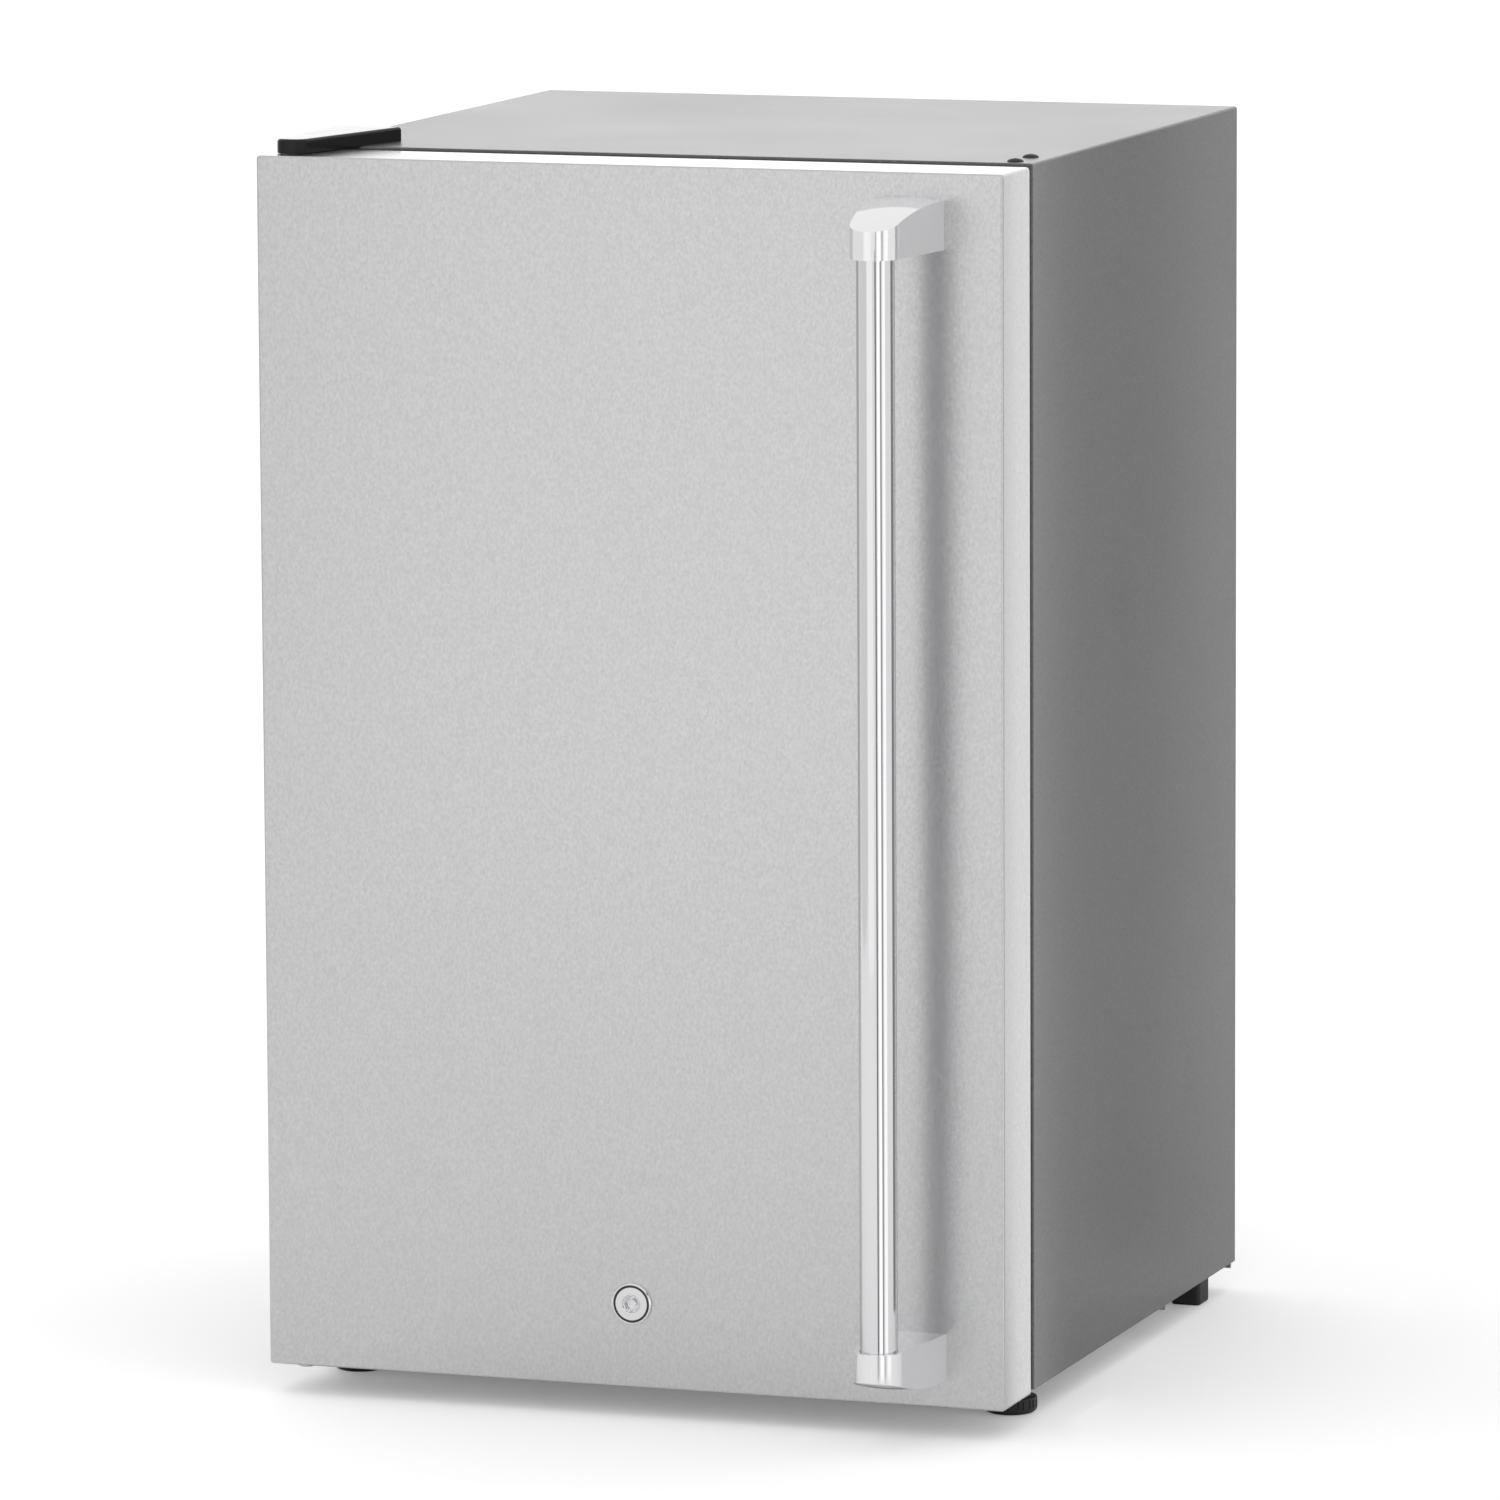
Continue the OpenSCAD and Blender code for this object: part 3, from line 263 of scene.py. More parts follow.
def drawn(axis, steps, corner=None, sides=4, capped=True):
    """Shape drawn through rings across an axis. A step is (middle a, middle b, half size a,
    half size b, place along the axis). The ring is round, or with a corner radius a rectangle."""
    a, b, ha, hb, w = steps[0]
    clear()
    at = vector(axis, a, b, w)
    if corner is None:
        bpy.ops.mesh.primitive_circle_add(vertices=sides, radius=1, location=at,
                                          rotation=TURNS[axis])
    else:
        bpy.ops.mesh.primitive_plane_add(size=2, location=at, rotation=TURNS[axis])
    piece = settle(bpy.context.object)
    edit(piece)
    resize(vector(axis, ha, hb, 1), at)
    if corner is not None:
        if corner:
            bpy.ops.mesh.bevel(offset=corner, segments=sides, affect="VERTICES")
        bpy.ops.mesh.select_all(action="SELECT")
        bpy.ops.mesh.delete(type="ONLY_FACE")
    bpy.ops.mesh.select_mode(type="EDGE")
    bpy.ops.mesh.select_all(action="SELECT")
    for old, new in zip(steps, steps[1:]):
        extrude(vector(axis, new[0] - old[0], new[1] - old[1], new[4] - old[4]))
        resize(vector(axis, new[2] / old[2], new[3] / old[3], 1),
               vector(axis, new[0], new[1], new[4]))
    bpy.ops.mesh.select_all(action="SELECT")
    bpy.ops.mesh.remove_doubles(threshold=WELD)
    if capped:
        bpy.ops.mesh.fill_holes(sides=0)
    bpy.ops.mesh.select_all(action="SELECT")
    bpy.ops.mesh.normals_make_consistent(inside=False)
    return settle(piece)


def turned(axis, a, b, profile, sides=48, capped=True):
    """Round piece about a line along the axis, from a profile of (radius, place) points"""
    return drawn(axis, [(a, b, r, r, w) for r, w in profile], sides=sides, capped=capped)


def arc(middle, start, end, radius, count=4):
    """Points (across, along) on an arc about the middle, angles in degrees"""
    steps = [radians(start + (end - start) * i / count) for i in range(count + 1)]
    return [(middle[0] + radius * cos(t), middle[1] + radius * sin(t)) for t in steps]


def block(low, high, corner=0.0, edge=0.0, axis="Z", corners=4):
    """Block with round corners across the axis and eased edges"""
    a, b, w = AXES[axis]
    mid = [(low[i] + high[i]) / 2 for i in range(3)]
    half = [(high[i] - low[i]) / 2 for i in range(3)]
    steps = [(mid[a], mid[b], half[a], half[b], end[w]) for end in (low, high)]
    piece = drawn(axis, steps, corner=corner, sides=corners)
    return ease(piece, edge) if edge else piece


def prism(outline, low, high, corner=0.0, segments=4):
    """Upright plate with the outline, drawn out point by point from one vertex"""
    clear()
    bpy.ops.mesh.primitive_plane_add(size=MM, location=(*outline[0], low))
    piece = settle(bpy.context.object)
    edit(piece)
    bpy.ops.mesh.merge(type="CENTER")
    for old, new in zip(outline, outline[1:] + outline[:1]):
        extrude((new[0] - old[0], new[1] - old[1], 0))
    bpy.ops.mesh.select_all(action="SELECT")
    bpy.ops.mesh.remove_doubles(threshold=WELD)
    bpy.ops.mesh.edge_face_add()
    if corner:
        bpy.ops.mesh.bevel(offset=corner, segments=segments, affect="VERTICES")
    bpy.ops.mesh.select_all(action="SELECT")
    extrude((0, 0, high - low))
    return outward(piece)


def bent_tube(points, radius, bend, roundness=3):
    """Tube along straight runs with smooth bends"""
    path = [Vector(points[0])]
    for before, at, after in zip(points, points[1:], points[2:]):
        before, at, after = Vector(before), Vector(at), Vector(after)
        reach = min(bend, (before - at).length / 2, (after - at).length / 2)
        start = at + (before - at).normalized() * reach
        end = at + (after - at).normalized() * reach
        for i in range(9):
            t = i / 8
            path.append(start * (1 - t) ** 2 + at * 2 * t * (1 - t) + end * t ** 2)
    path.append(Vector(points[-1]))
    clear()
    bpy.ops.curve.primitive_bezier_curve_add(location=(0, 0, 0))
    piece = bpy.context.object
    line = piece.data
    line.splines.clear()
    spline = line.splines.new("POLY")
    spline.points.add(len(path) - 1)
    for point, place in zip(spline.points, path):
        point.co = (*place, 1)
    line.dimensions = "3D"
    line.bevel_depth = radius
    line.bevel_resolution = roundness
    line.use_fill_caps = True
    hold(piece)
    bpy.ops.object.convert(target="MESH")
    return outward(bpy.context.object)


def eased_copy(node, width, segments=2, angle=35):
    """Copy of a CAD node with its triangles merged to flat faces and its edges rounded"""
    piece = bpy.data.objects.new(node + "_copy", frame["nodes"][node].data.copy())
    bpy.context.scene.collection.objects.link(piece)
    edit(piece)
    bpy.ops.mesh.remove_doubles(threshold=5 * WELD)
    bpy.ops.mesh.dissolve_limited(angle_limit=radians(1.5))
    settle(piece)
    return ease(piece, width, segments, angle)


def deliver(piece, name, body, slot, *nodes, smooth=40):
    """Names the finished piece, gives it its finish, ties it to its body and hides the CAD nodes it
    stands for
    """
    settle(piece)
    piece.name = name
    piece.data.name = name
    bpy.ops.object.shade_smooth_by_angle(angle=radians(smooth))
    modify(piece, "WEIGHTED_NORMAL", keep_sharp=True)
    piece.data.materials.clear()
    piece.data.materials.append(finish_of(slot))
    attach(piece, body)
    if nodes:
        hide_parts(*nodes)
    return piece


# ---- finishes ----

def finish(name, tint, rough=0.5, metal=0.0, tone=0.06, tone_scale=7.0, spread=0.05,
           grain_scale=900.0, stretch=(1, 1, 1), grain_tone=0.03, bump=0.2, depth=0.05,
           sockets=()):
    """Principled finish with broad and fine variation in colour, gloss and height"""
    made = bpy.data.materials.new(name)
    made.use_nodes = True
    tree = made.node_tree
    shader = tree.nodes["Principled BSDF"]
    for key, value in dict({"Metallic": metal}, **dict(sockets)).items():
        shader.inputs[key].default_value = value

    def node(kind, **values):
        n = tree.nodes.new(kind)
        for key, value in values.items():
            if hasattr(n, key):
                setattr(n, key, value)
            else:
                n.inputs[key].default_value = value
        return n

    def link(a, out, b, into):
        tree.links.new(a.outputs[out], b.inputs[into])

    place = node("ShaderNodeTexCoord")
    turn = node("ShaderNodeMapping", Scale=stretch)
    link(place, "Object", turn, "Vector")
    broad = node("ShaderNodeTexNoise", Scale=tone_scale, Detail=4.0, Roughness=0.55)
    link(place, "Object", broad, "Vector")
    fine = node("ShaderNodeTexNoise", Scale=grain_scale, Detail=3.0, Roughness=0.6)
    link(turn, "Vector", fine, "Vector")
    shade = node("ShaderNodeMix", data_type="RGBA")
    shade.inputs["A"].default_value = (*[c * (1 - tone) for c in tint], 1)
    shade.inputs["B"].default_value = (*[min(1, c * (1 + tone)) for c in tint], 1)
    link(broad, "Fac", shade, "Factor")
    speck = node("ShaderNodeMapRange")
    speck.inputs["To Min"].default_value = 1 - grain_tone
    speck.inputs["To Max"].default_value = 1 + grain_tone
    speck.clamp = False
    link(fine, "Fac", speck, "Value")
    toned = node("ShaderNodeVectorMath", operation="SCALE")
    tree.links.new(shade.outputs["Result"], toned.inputs[0])
    link(speck, "Result", toned, "Scale")
    link(toned, "Vector", shader, "Base Color")
    gloss = node("ShaderNodeMapRange")
    gloss.inputs["To Min"].default_value = max(0.02, rough - spread)
    gloss.inputs["To Max"].default_value = rough + spread
    link(broad, "Fac", gloss, "Value")
    link(gloss, "Result", shader, "Roughness")
    raised = node("ShaderNodeBump", Strength=bump, Distance=depth * MM)
    link(fine, "Fac", raised, "Height")
    link(raised, "Normal", shader, "Normal")
    return made


# How often the brushed grain changes across and up a sheet
BRUSH_LINES = (9, 9, 420)


def brushed(name, tint, rough):
    """Brushed sheet: fine crossed grain in tone, gloss and height"""
    made = finish(name, tint, rough=rough, metal=1.0, tone=0.015, tone_scale=3.0, spread=0.03,
                  grain_scale=640.0, stretch=(1, 1, 0.6), grain_tone=0.22, bump=0.35, depth=0.02)
    tree = made.node_tree
    shader = tree.nodes["Principled BSDF"]
    place = tree.nodes["Texture Coordinate"]
    turn = tree.nodes.new("ShaderNodeMapping")
    turn.inputs["Scale"].default_value = BRUSH_LINES
    tree.links.new(place.outputs["Object"], turn.inputs["Vector"])
    lines = tree.nodes.new("ShaderNodeTexNoise")
    lines.inputs["Scale"].default_value = 4.0
    lines.inputs["Detail"].default_value = 2.0
    tree.links.new(turn.outputs["Vector"], lines.inputs["Vector"])
    raised = tree.nodes["Bump"]
    over = tree.nodes.new("ShaderNodeBump")
    over.inputs["Strength"].default_value = 0.12
    over.inputs["Distance"].default_value = 0.02 * MM
    tree.links.new(lines.outputs["Fac"], over.inputs["Height"])
    tree.links.new(raised.outputs["Normal"], over.inputs["Normal"])
    tree.links.new(over.outputs["Normal"], shader.inputs["Normal"])
    return made


def make_finish(slot):
    """New material for one slot, in the scene's colours"""
    c = bpy.context.scene.fridge_colours
    coat = {"Coat Weight": 0.35, "Coat Roughness": 0.12}
    dull = {"Specular IOR Level": 0.2}
    skin = {"Subsurface Weight": 0.08, "Subsurface Scale": 0.004}
    makers = {
        "cabinet_paint": lambda n: finish(n, c.paint, 0.36, tone=0.07, tone_scale=5, spread=0.06,
                                          grain_scale=620, grain_tone=1.1, bump=0.8, depth=0.16,
                                          sockets={"Coat Weight": 0.3, "Coat Roughness": 0.3}),
        "stainless": lambda n: brushed(n, c.steel, 0.24),
        "polished": lambda n: finish(n, c.polish, 0.06, 1.0, tone=0.015, tone_scale=20,
                                     spread=0.02, grain_scale=500, grain_tone=0.01, bump=0.05,
                                     depth=0.02),
        # Lighter copy of the polish with part diffuse, for the handle brackets only: a painted
        # highlight that brightens them beyond the tube's own chrome
        "polished_lit_copy": lambda n: finish(n, [1.12 * v for v in c.polish], 0.08, 0.6, tone=0.015,
                                        tone_scale=20, spread=0.02, grain_scale=500,
                                        grain_tone=0.01, bump=0.05, depth=0.02),
        "zinc_steel": lambda n: finish(n, c.zinc, 0.36, 1.0, tone=0.12, tone_scale=45,
                                       spread=0.1, grain_scale=700, grain_tone=0.06, bump=0.2),
        "black_gloss": lambda n: finish(n, c.gloss_black, 0.16, tone=0.15, tone_scale=30,
                                        spread=0.04, grain_scale=1500, bump=0.08, sockets=dull),
        "black_matte": lambda n: finish(n, c.black, 0.5, tone=0.15, tone_scale=40, spread=0.08,
                                        grain_scale=1300, grain_tone=0.2, bump=0.45, depth=0.12,
                                        sockets=dull),
        "rubber_black": lambda n: finish(n, c.rubber, 0.62, tone=0.2, tone_scale=30, spread=0.08,
                                         grain_scale=1500, grain_tone=0.2, bump=0.3, depth=0.06),
        "white_plastic": lambda n: finish(n, c.white, 0.33, tone=0.02, tone_scale=6, spread=0.05,
                                          grain_scale=1000, grain_tone=0.01, bump=0.2, depth=0.05,
                                          sockets=skin),
        "foam": lambda n: finish(n, c.foam, 0.85, tone=0.08, tone_scale=60, grain_scale=600,
                                 grain_tone=0.12, bump=0.8, depth=0.4),
        "black_enamel": lambda n: finish(n, c.enamel, 0.24, tone=0.15, tone_scale=25, spread=0.06,
                                         grain_scale=450, grain_tone=0.08, bump=0.25, depth=0.1,
                                         sockets=coat),
        "copper": lambda n: finish(n, c.copper, 0.28, 1.0, tone=0.2, tone_scale=60, spread=0.1,
                                   grain_scale=600, grain_tone=0.08, bump=0.15),
        "aluminium_sheet": lambda n: finish(n, c.aluminium, 0.38, 1.0, tone=0.06, tone_scale=25,
                                            grain_scale=900, stretch=(0.1, 1, 1), bump=0.2),
        "shelf_glass": lambda n: finish(n, (0.82, 0.93, 0.9), 0.03, tone=0.02, tone_scale=10,
                                        spread=0.01, grain_tone=0.0, bump=0.02, depth=0.02,
                                        sockets={"Transmission Weight": 0.96, "IOR": 1.5}),
        "lens": lambda n: finish(n, (0.95, 0.95, 0.93), 0.4, tone=0.02, tone_scale=60, spread=0.05,
                                 grain_scale=900, bump=0.4, depth=0.1,
                                 sockets={"Transmission Weight": 0.75, "IOR": 1.45}),
        "circuit": lambda n: finish(n, (0.03, 0.2, 0.08), 0.35, tone=0.3, tone_scale=180,
                                    grain_scale=500, grain_tone=0.3, bump=0.3),
        "magnet": lambda n: finish(n, (0.08, 0.06, 0.05), 0.7, tone=0.2, tone_scale=60),
    }
    return makers[slot](slot)


def finish_of(slot):
    """The slot's one material, made when it is first asked for"""
    made = bpy.data.materials.get("finish_" + slot)
    if made is None:
        made = make_finish(slot)
        made.name = "finish_" + slot
    return made


# ---- the studio ----

# Name, place, size and power of the soft lamps, and the point they face
LAMPS = (("overhead", (0.2, -0.6, 4.2), (4.2, 3.6), 14),
         ("front_left", (-3.2, -4.6, 2.2), (2.2, 2.2), 10))
AIM = Vector((0, 0, 0.4))
FLOOR_SIZE = 120
# Light of the surround by its place once round the object, and of the sky above it
SURROUND = ((0.0, 0.8), (0.2, 0.95), (0.45, 0.95), (0.58, 0.8), (0.68, 0.9), (0.74, 1.8),
            (0.86, 1.9), (0.93, 1.0), (1.0, 0.8))
SKY = 0.95
SKY_FROM, SKY_FULL = 0.2, 0.4
# Name, start and end in degrees round the handle from the camera's side, distance, top, light
CARDS = (("grey_left", -112, -58, 2.3, 2.2, 0.78), ("left", -54, -20, 2.0, 2.2, 1.12),
         ("dark_middle", -6, 2, 0.28, 1.3, 0.2), ("near_right", 8, 23, 0.28, 1.3, 1.4),
         ("grey_right", 25, 33, 0.28, 1.3, 0.35), ("far_right", 39, 57, 0.28, 1.3, 1.3),
         ("dark_far", 100, 122, 0.5, 1.3, 0.25))
# Name, x, two ends in y, top and light of the cards beside the cabinet
FLANK_CARDS = (("side", 0.39, (0.3, 0.5), 1.0, 0.15),
               ("flank", 0.28, (-0.16, -0.062), 1.0, 1.12))


class FRIDGE_OT_studio(bpy.types.Operator):
    """Camera, soft lights, pale world and plain floor"""
    bl_idname = "fridge.studio"
    bl_label = "Studio"

    def execute(self, context):
        studio = context.scene.fridge_studio
        context.scene.view_settings.view_transform = "Standard"
        door = Span("door_skin")
        target = Vector((studio.target_x, door.y0, door.z0 + studio.target_up))
        yaw, pitch, roll = studio.yaw, studio.pitch, studio.roll
        ahead = Vector((-sin(yaw) * cos(pitch), cos(yaw) * cos(pitch), -sin(pitch)))
        right = ahead.cross(Vector((0, 0, 1))).normalized()
        up = right.cross(ahead)
        columns = (cos(roll) * right + sin(roll) * up, cos(roll) * up - sin(roll) * right, -ahead)
        bpy.ops.object.camera_add()
        camera = context.object
        camera.matrix_world = Matrix.Translation(target - ahead * studio.distance) @ \
            Matrix(columns).transposed().to_4x4()
        camera.data.lens = studio.lens
        camera.data.clip_end = 200
        context.scene.camera = camera
        for name, place, size, power in LAMPS:
            bpy.ops.object.light_add(type="AREA", location=place)
            lamp = context.object
            lamp.name = name
            lamp.data.shape = "RECTANGLE"
            lamp.data.size, lamp.data.size_y = size
            lamp.data.energy = power
            aim = AIM - Vector(place)
            lamp.rotation_euler = aim.to_track_quat("-Z", "Y").to_euler()
            lamp.visible_glossy = False
        clear()
        bpy.ops.mesh.primitive_plane_add(size=FLOOR_SIZE, location=(0, 0, 0))
        floor = settle(context.object)
        floor.name = "floor"
        paper = finish("finish_floor", context.scene.fridge_colours.floor, 0.8, tone=0.01,
                       tone_scale=0.5, grain_scale=300, grain_tone=0.005, bump=0.02)
        tree = paper.node_tree
        rays = tree.nodes.new("ShaderNodeLightPath")
        lift = tree.nodes.new("ShaderNodeMath")
        lift.operation = "MULTIPLY"
        lift.inputs[1].default_value = studio.floor_lift
        tree.links.new(rays.outputs["Is Camera Ray"], lift.inputs[0])
        shader = tree.nodes["Principled BSDF"]
        shader.inputs["Emission Color"].default_value = (1, 1, 1, 1)
        tree.links.new(lift.outputs[0], shader.inputs["Emission Strength"])
        floor.data.materials.append(paper)
        bar = Span("handle_tube")
        for name, start, end, distance, top, light in CARDS:
            ends = []
            for angle in (start, end):
                t = yaw - pi / 2 + radians(angle)
                ends.append(Vector((bar.x + distance * cos(t), bar.y + distance * sin(t), 0)))
            self.card(name, *ends, top, light)
        for name, x, reach, top, light in FLANK_CARDS:
            self.card(name, *(Vector((x, y, 0)) for y in reach), top, light)
        self.world(context)
        return {"FINISHED"}

    def card(self, name, start, end, top, light):
        """Upright studio card that only polished and glossy faces see"""
        run = end - start
        clear()
        bpy.ops.mesh.primitive_plane_add(
            size=1, location=(start + end) / 2 + Vector((0, 0, top / 2)),
            rotation=(pi / 2, 0, run.to_2d().angle_signed(Vector((1, 0)))))
        piece = bpy.context.object
        piece.scale = (run.length, top, 1)
        settle(piece)
        piece.name = "card_" + name
        paper = bpy.data.materials.new("card_" + name)
        paper.use_nodes = True
        tree = paper.node_tree
        glow = tree.nodes.new("ShaderNodeEmission")
        glow.inputs["Strength"].default_value = light
        tree.links.new(glow.outputs[0], tree.nodes["Material Output"].inputs["Surface"])
        piece.data.materials.append(paper)
        piece.visible_camera = False
        piece.visible_diffuse = False
        piece.visible_shadow = False
        piece.visible_transmission = False

    def world(self, context):
        """Pale surround with tall soft panels round the object"""
        world = bpy.data.worlds.new("pale_studio")
        context.scene.world = world
        world.use_nodes = True
        tree = world.node_tree
        backdrop = tree.nodes["Background"]
        place = tree.nodes.new("ShaderNodeTexCoord")
        parts = tree.nodes.new("ShaderNodeSeparateXYZ")
        around = tree.nodes.new("ShaderNodeMath")
        around.operation = "ARCTAN2"
        turn = tree.nodes.new("ShaderNodeMapRange")
        turn.inputs["From Min"].default_value = -pi
        turn.inputs["From Max"].default_value = pi
        panels = tree.nodes.new("ShaderNodeValToRGB")
        ramp = panels.color_ramp
        while len(ramp.elements) < len(SURROUND):
            ramp.elements.new(0.5)
        for element, (position, value) in zip(ramp.elements, SURROUND):
            element.position = position
            element.color = (value, value, value, 1)
        height = tree.nodes.new("ShaderNodeMapRange")
        height.inputs["From Min"].default_value = SKY_FROM
        height.inputs["From Max"].default_value = SKY_FULL
        blend = tree.nodes.new("ShaderNodeMix")
        blend.data_type = "RGBA"
        blend.inputs["B"].default_value = (SKY, SKY, SKY, 1)
        for a, b in ((place.outputs["Generated"], parts.inputs["Vector"]),
                     (parts.outputs["Y"], around.inputs[0]), (parts.outputs["X"], around.inputs[1]),
                     (around.outputs[0], turn.inputs["Value"]),
                     (turn.outputs["Result"], panels.inputs["Fac"]),
                     (parts.outputs["Z"], height.inputs["Value"]),
                     (height.outputs["Result"], blend.inputs["Factor"]),
                     (panels.outputs["Color"], blend.inputs["A"]),
                     (blend.outputs["Result"], backdrop.inputs["Color"])):
            tree.links.new(a, b)
        backdrop.inputs["Strength"].default_value = 1.0


# ---- cabinet ----

class FRIDGE_OT_cabinet(bpy.types.Operator):
    """Folded outer shell, rear panel, front rail and pan"""
    bl_idname = "fridge.cabinet"
    bl_label = "Cabinet"

    def execute(self, context):
        s = sizes()
        c = Span("outer_shell")

        def ring(inset, y):
            top = c.z1 - inset
            return (c.x, (c.z0 + top) / 2, c.x1 - c.x - inset, (top - c.z0) / 2, y)

        shell = drawn("Y", [ring(s.front_return, c.y0), ring(0, c.y0), ring(0, c.y1),
                            ring(s.back_return, c.y1)], corner=0, capped=False)
        edit(shell)
        pick("FACE", lambda f: all(v.co.z < c.z0 + WELD for v in f.verts))
        bpy.ops.mesh.delete(type="FACE")
        settle(shell)
        ease(shell, s.shell_edge, 4)
        wall(shell, s.sheet)
        deliver(shell, "cabinet_shell", "cabinet", "cabinet_paint", "outer_shell")
        panel = eased_copy("back_panel", 0.4 * MM)
        p = Span("back_panel")
        beads = [panel]
        half, sunk, raised = 6 * MM, 4 * MM, 2.2 * MM
        foot, head = p.z0 + 90 * MM, p.z1 - 50 * MM
        for x in (-150 * MM, -50 * MM, 90 * MM, 170 * MM):
            beads.append(block((x - half, p.y1 - sunk, foot), (x + half, p.y1 + raised, head),
                               5.5 * MM, 1 * MM, "Y"))
        deliver(join(beads), "rear_panel", "cabinet", "cabinet_paint", "back_panel")
        deliver(eased_copy("front_rail", 0.5 * MM), "front_lower_rail", "cabinet",
                "cabinet_paint", "front_rail")
        deliver(eased_copy("bottom_pan", 0.4 * MM), "underside_pan", "cabinet", "zinc_steel",
                "bottom_pan")
        return {"FINISHED"}


class FRIDGE_OT_hinges(bpy.types.Operator):
    """Hinge plates, their cover and screws, and the plugs on the free side"""
    bl_idname = "fridge.hinges"
    bl_label = "Hinges"

    def execute(self, context):
        pin = Span("top_hinge_pin")
        box = Span("hinge_cover")
        left, right = 8 * MM, 9.5 * MM
        outline = arc((box.x0 + left, box.y0 + left), 180, 270, left, 8)
        outline += arc((pin.x + 3.5 * MM, box.y0 + right), 275, 340, right, 7)
        outline += [(box.x1, box.y1), (box.x0, box.y1)]
        cover = prism(outline, box.z0, box.z1)
        edit(cover)
        pick("FACE", lambda f: f.normal.z < -0.9)
        bpy.ops.mesh.delete(type="FACE")
        settle(cover)
        ease(cover, 2.2 * MM, 4, 60)
        wall(cover, 1.4 * MM)
        deliver(cover, "hinge_cap", "cabinet", "black_gloss", "hinge_cover")
        for node, name, width in (("top_hinge_plate", "upper_hinge_leaf", 0.6),
                                  ("top_hinge_screws", "upper_hinge_screws", 0.5),
                                  ("bottom_hinge_plate", "lower_hinge_leaf", 0.6),
                                  ("bottom_hinge_screws", "lower_hinge_screws", 0.5),
                                  ("bottom_hinge_pin", "lower_pin", 0.4)):
            deliver(eased_copy(node, width * MM), name, "cabinet", "zinc_steel", node)
        p = Span("hole_plugs")
        radius = p.x1 - p.x
        plugs = []
        for y in (p.y0 + radius, p.y1 - radius):
            rise = 2.2 * MM
            top = p.z1 - rise
            dome = [(1.2 * MM, p.z1)]
            dome += [(radius * cos(radians(t)), top + rise * sin(radians(t)))
                     for t in (75, 60, 40, 20, 5)]
            dome.append((radius, top))
            plugs.append(turned("Z", p.x, y, dome, 32))
        deliver(join(plugs), "free_side_plugs", "cabinet", "black_matte", "hole_plugs")
        return {"FINISHED"}


# ---- door ----

class FRIDGE_OT_door(bpy.types.Operator):
    """Folded stainless door panel with its lock and hinge holes"""
    bl_idname = "fridge.door"
    bl_label = "Door panel"

    def execute(self, context):
        s = sizes()
        d = Span("door_skin")
        r = s.door_fold
        profile = [(s.door_lip, d.y1)] + arc((r, d.y1 - r), 90, 180, r) + \
            arc((r, d.y0 + r), 180, 270, r)
        steps = [(d.x, d.z, d.x1 - d.x - inset, d.z1 - d.z - inset, y) for inset, y in profile]
        skin = drawn("Y", steps, corner=s.door_corner, sides=4, capped=False)
        edit(skin)
        pick("EDGE", lambda e: e.is_boundary and all(v.co.y < d.y0 + WELD for v in e.verts))
        bpy.ops.mesh.edge_face_add()
        outward(skin)
        wall(skin, s.sheet)
        pin = Span("bottom_hinge_pin")
        bush = Span("hinge_bushes")
        for z in (d.z0, d.z1):
            cut(skin, turned("Z", pin.x, pin.y, [(bush_hole(bush), z - 5 * MM),
                                                 (bush_hole(bush), z + 5 * MM)]))
        lock = Span("lock_body")
        hole = 9.7 * MM
        cut(skin, turned("Y", lock.x, lock.z, [(hole, d.y0 - 5 * MM), (hole, d.y0 + 5 * MM)]))
        deliver(skin, "door_panel", "door", "stainless", "door_skin", smooth=30)
        return {"FINISHED"}


def bush_hole(bush):
    """Radius of the hinge bushes' necks: their collars stand 1.5 mm further out"""
    return (bush.x1 - bush.x0) / 2 - 1.4 * MM


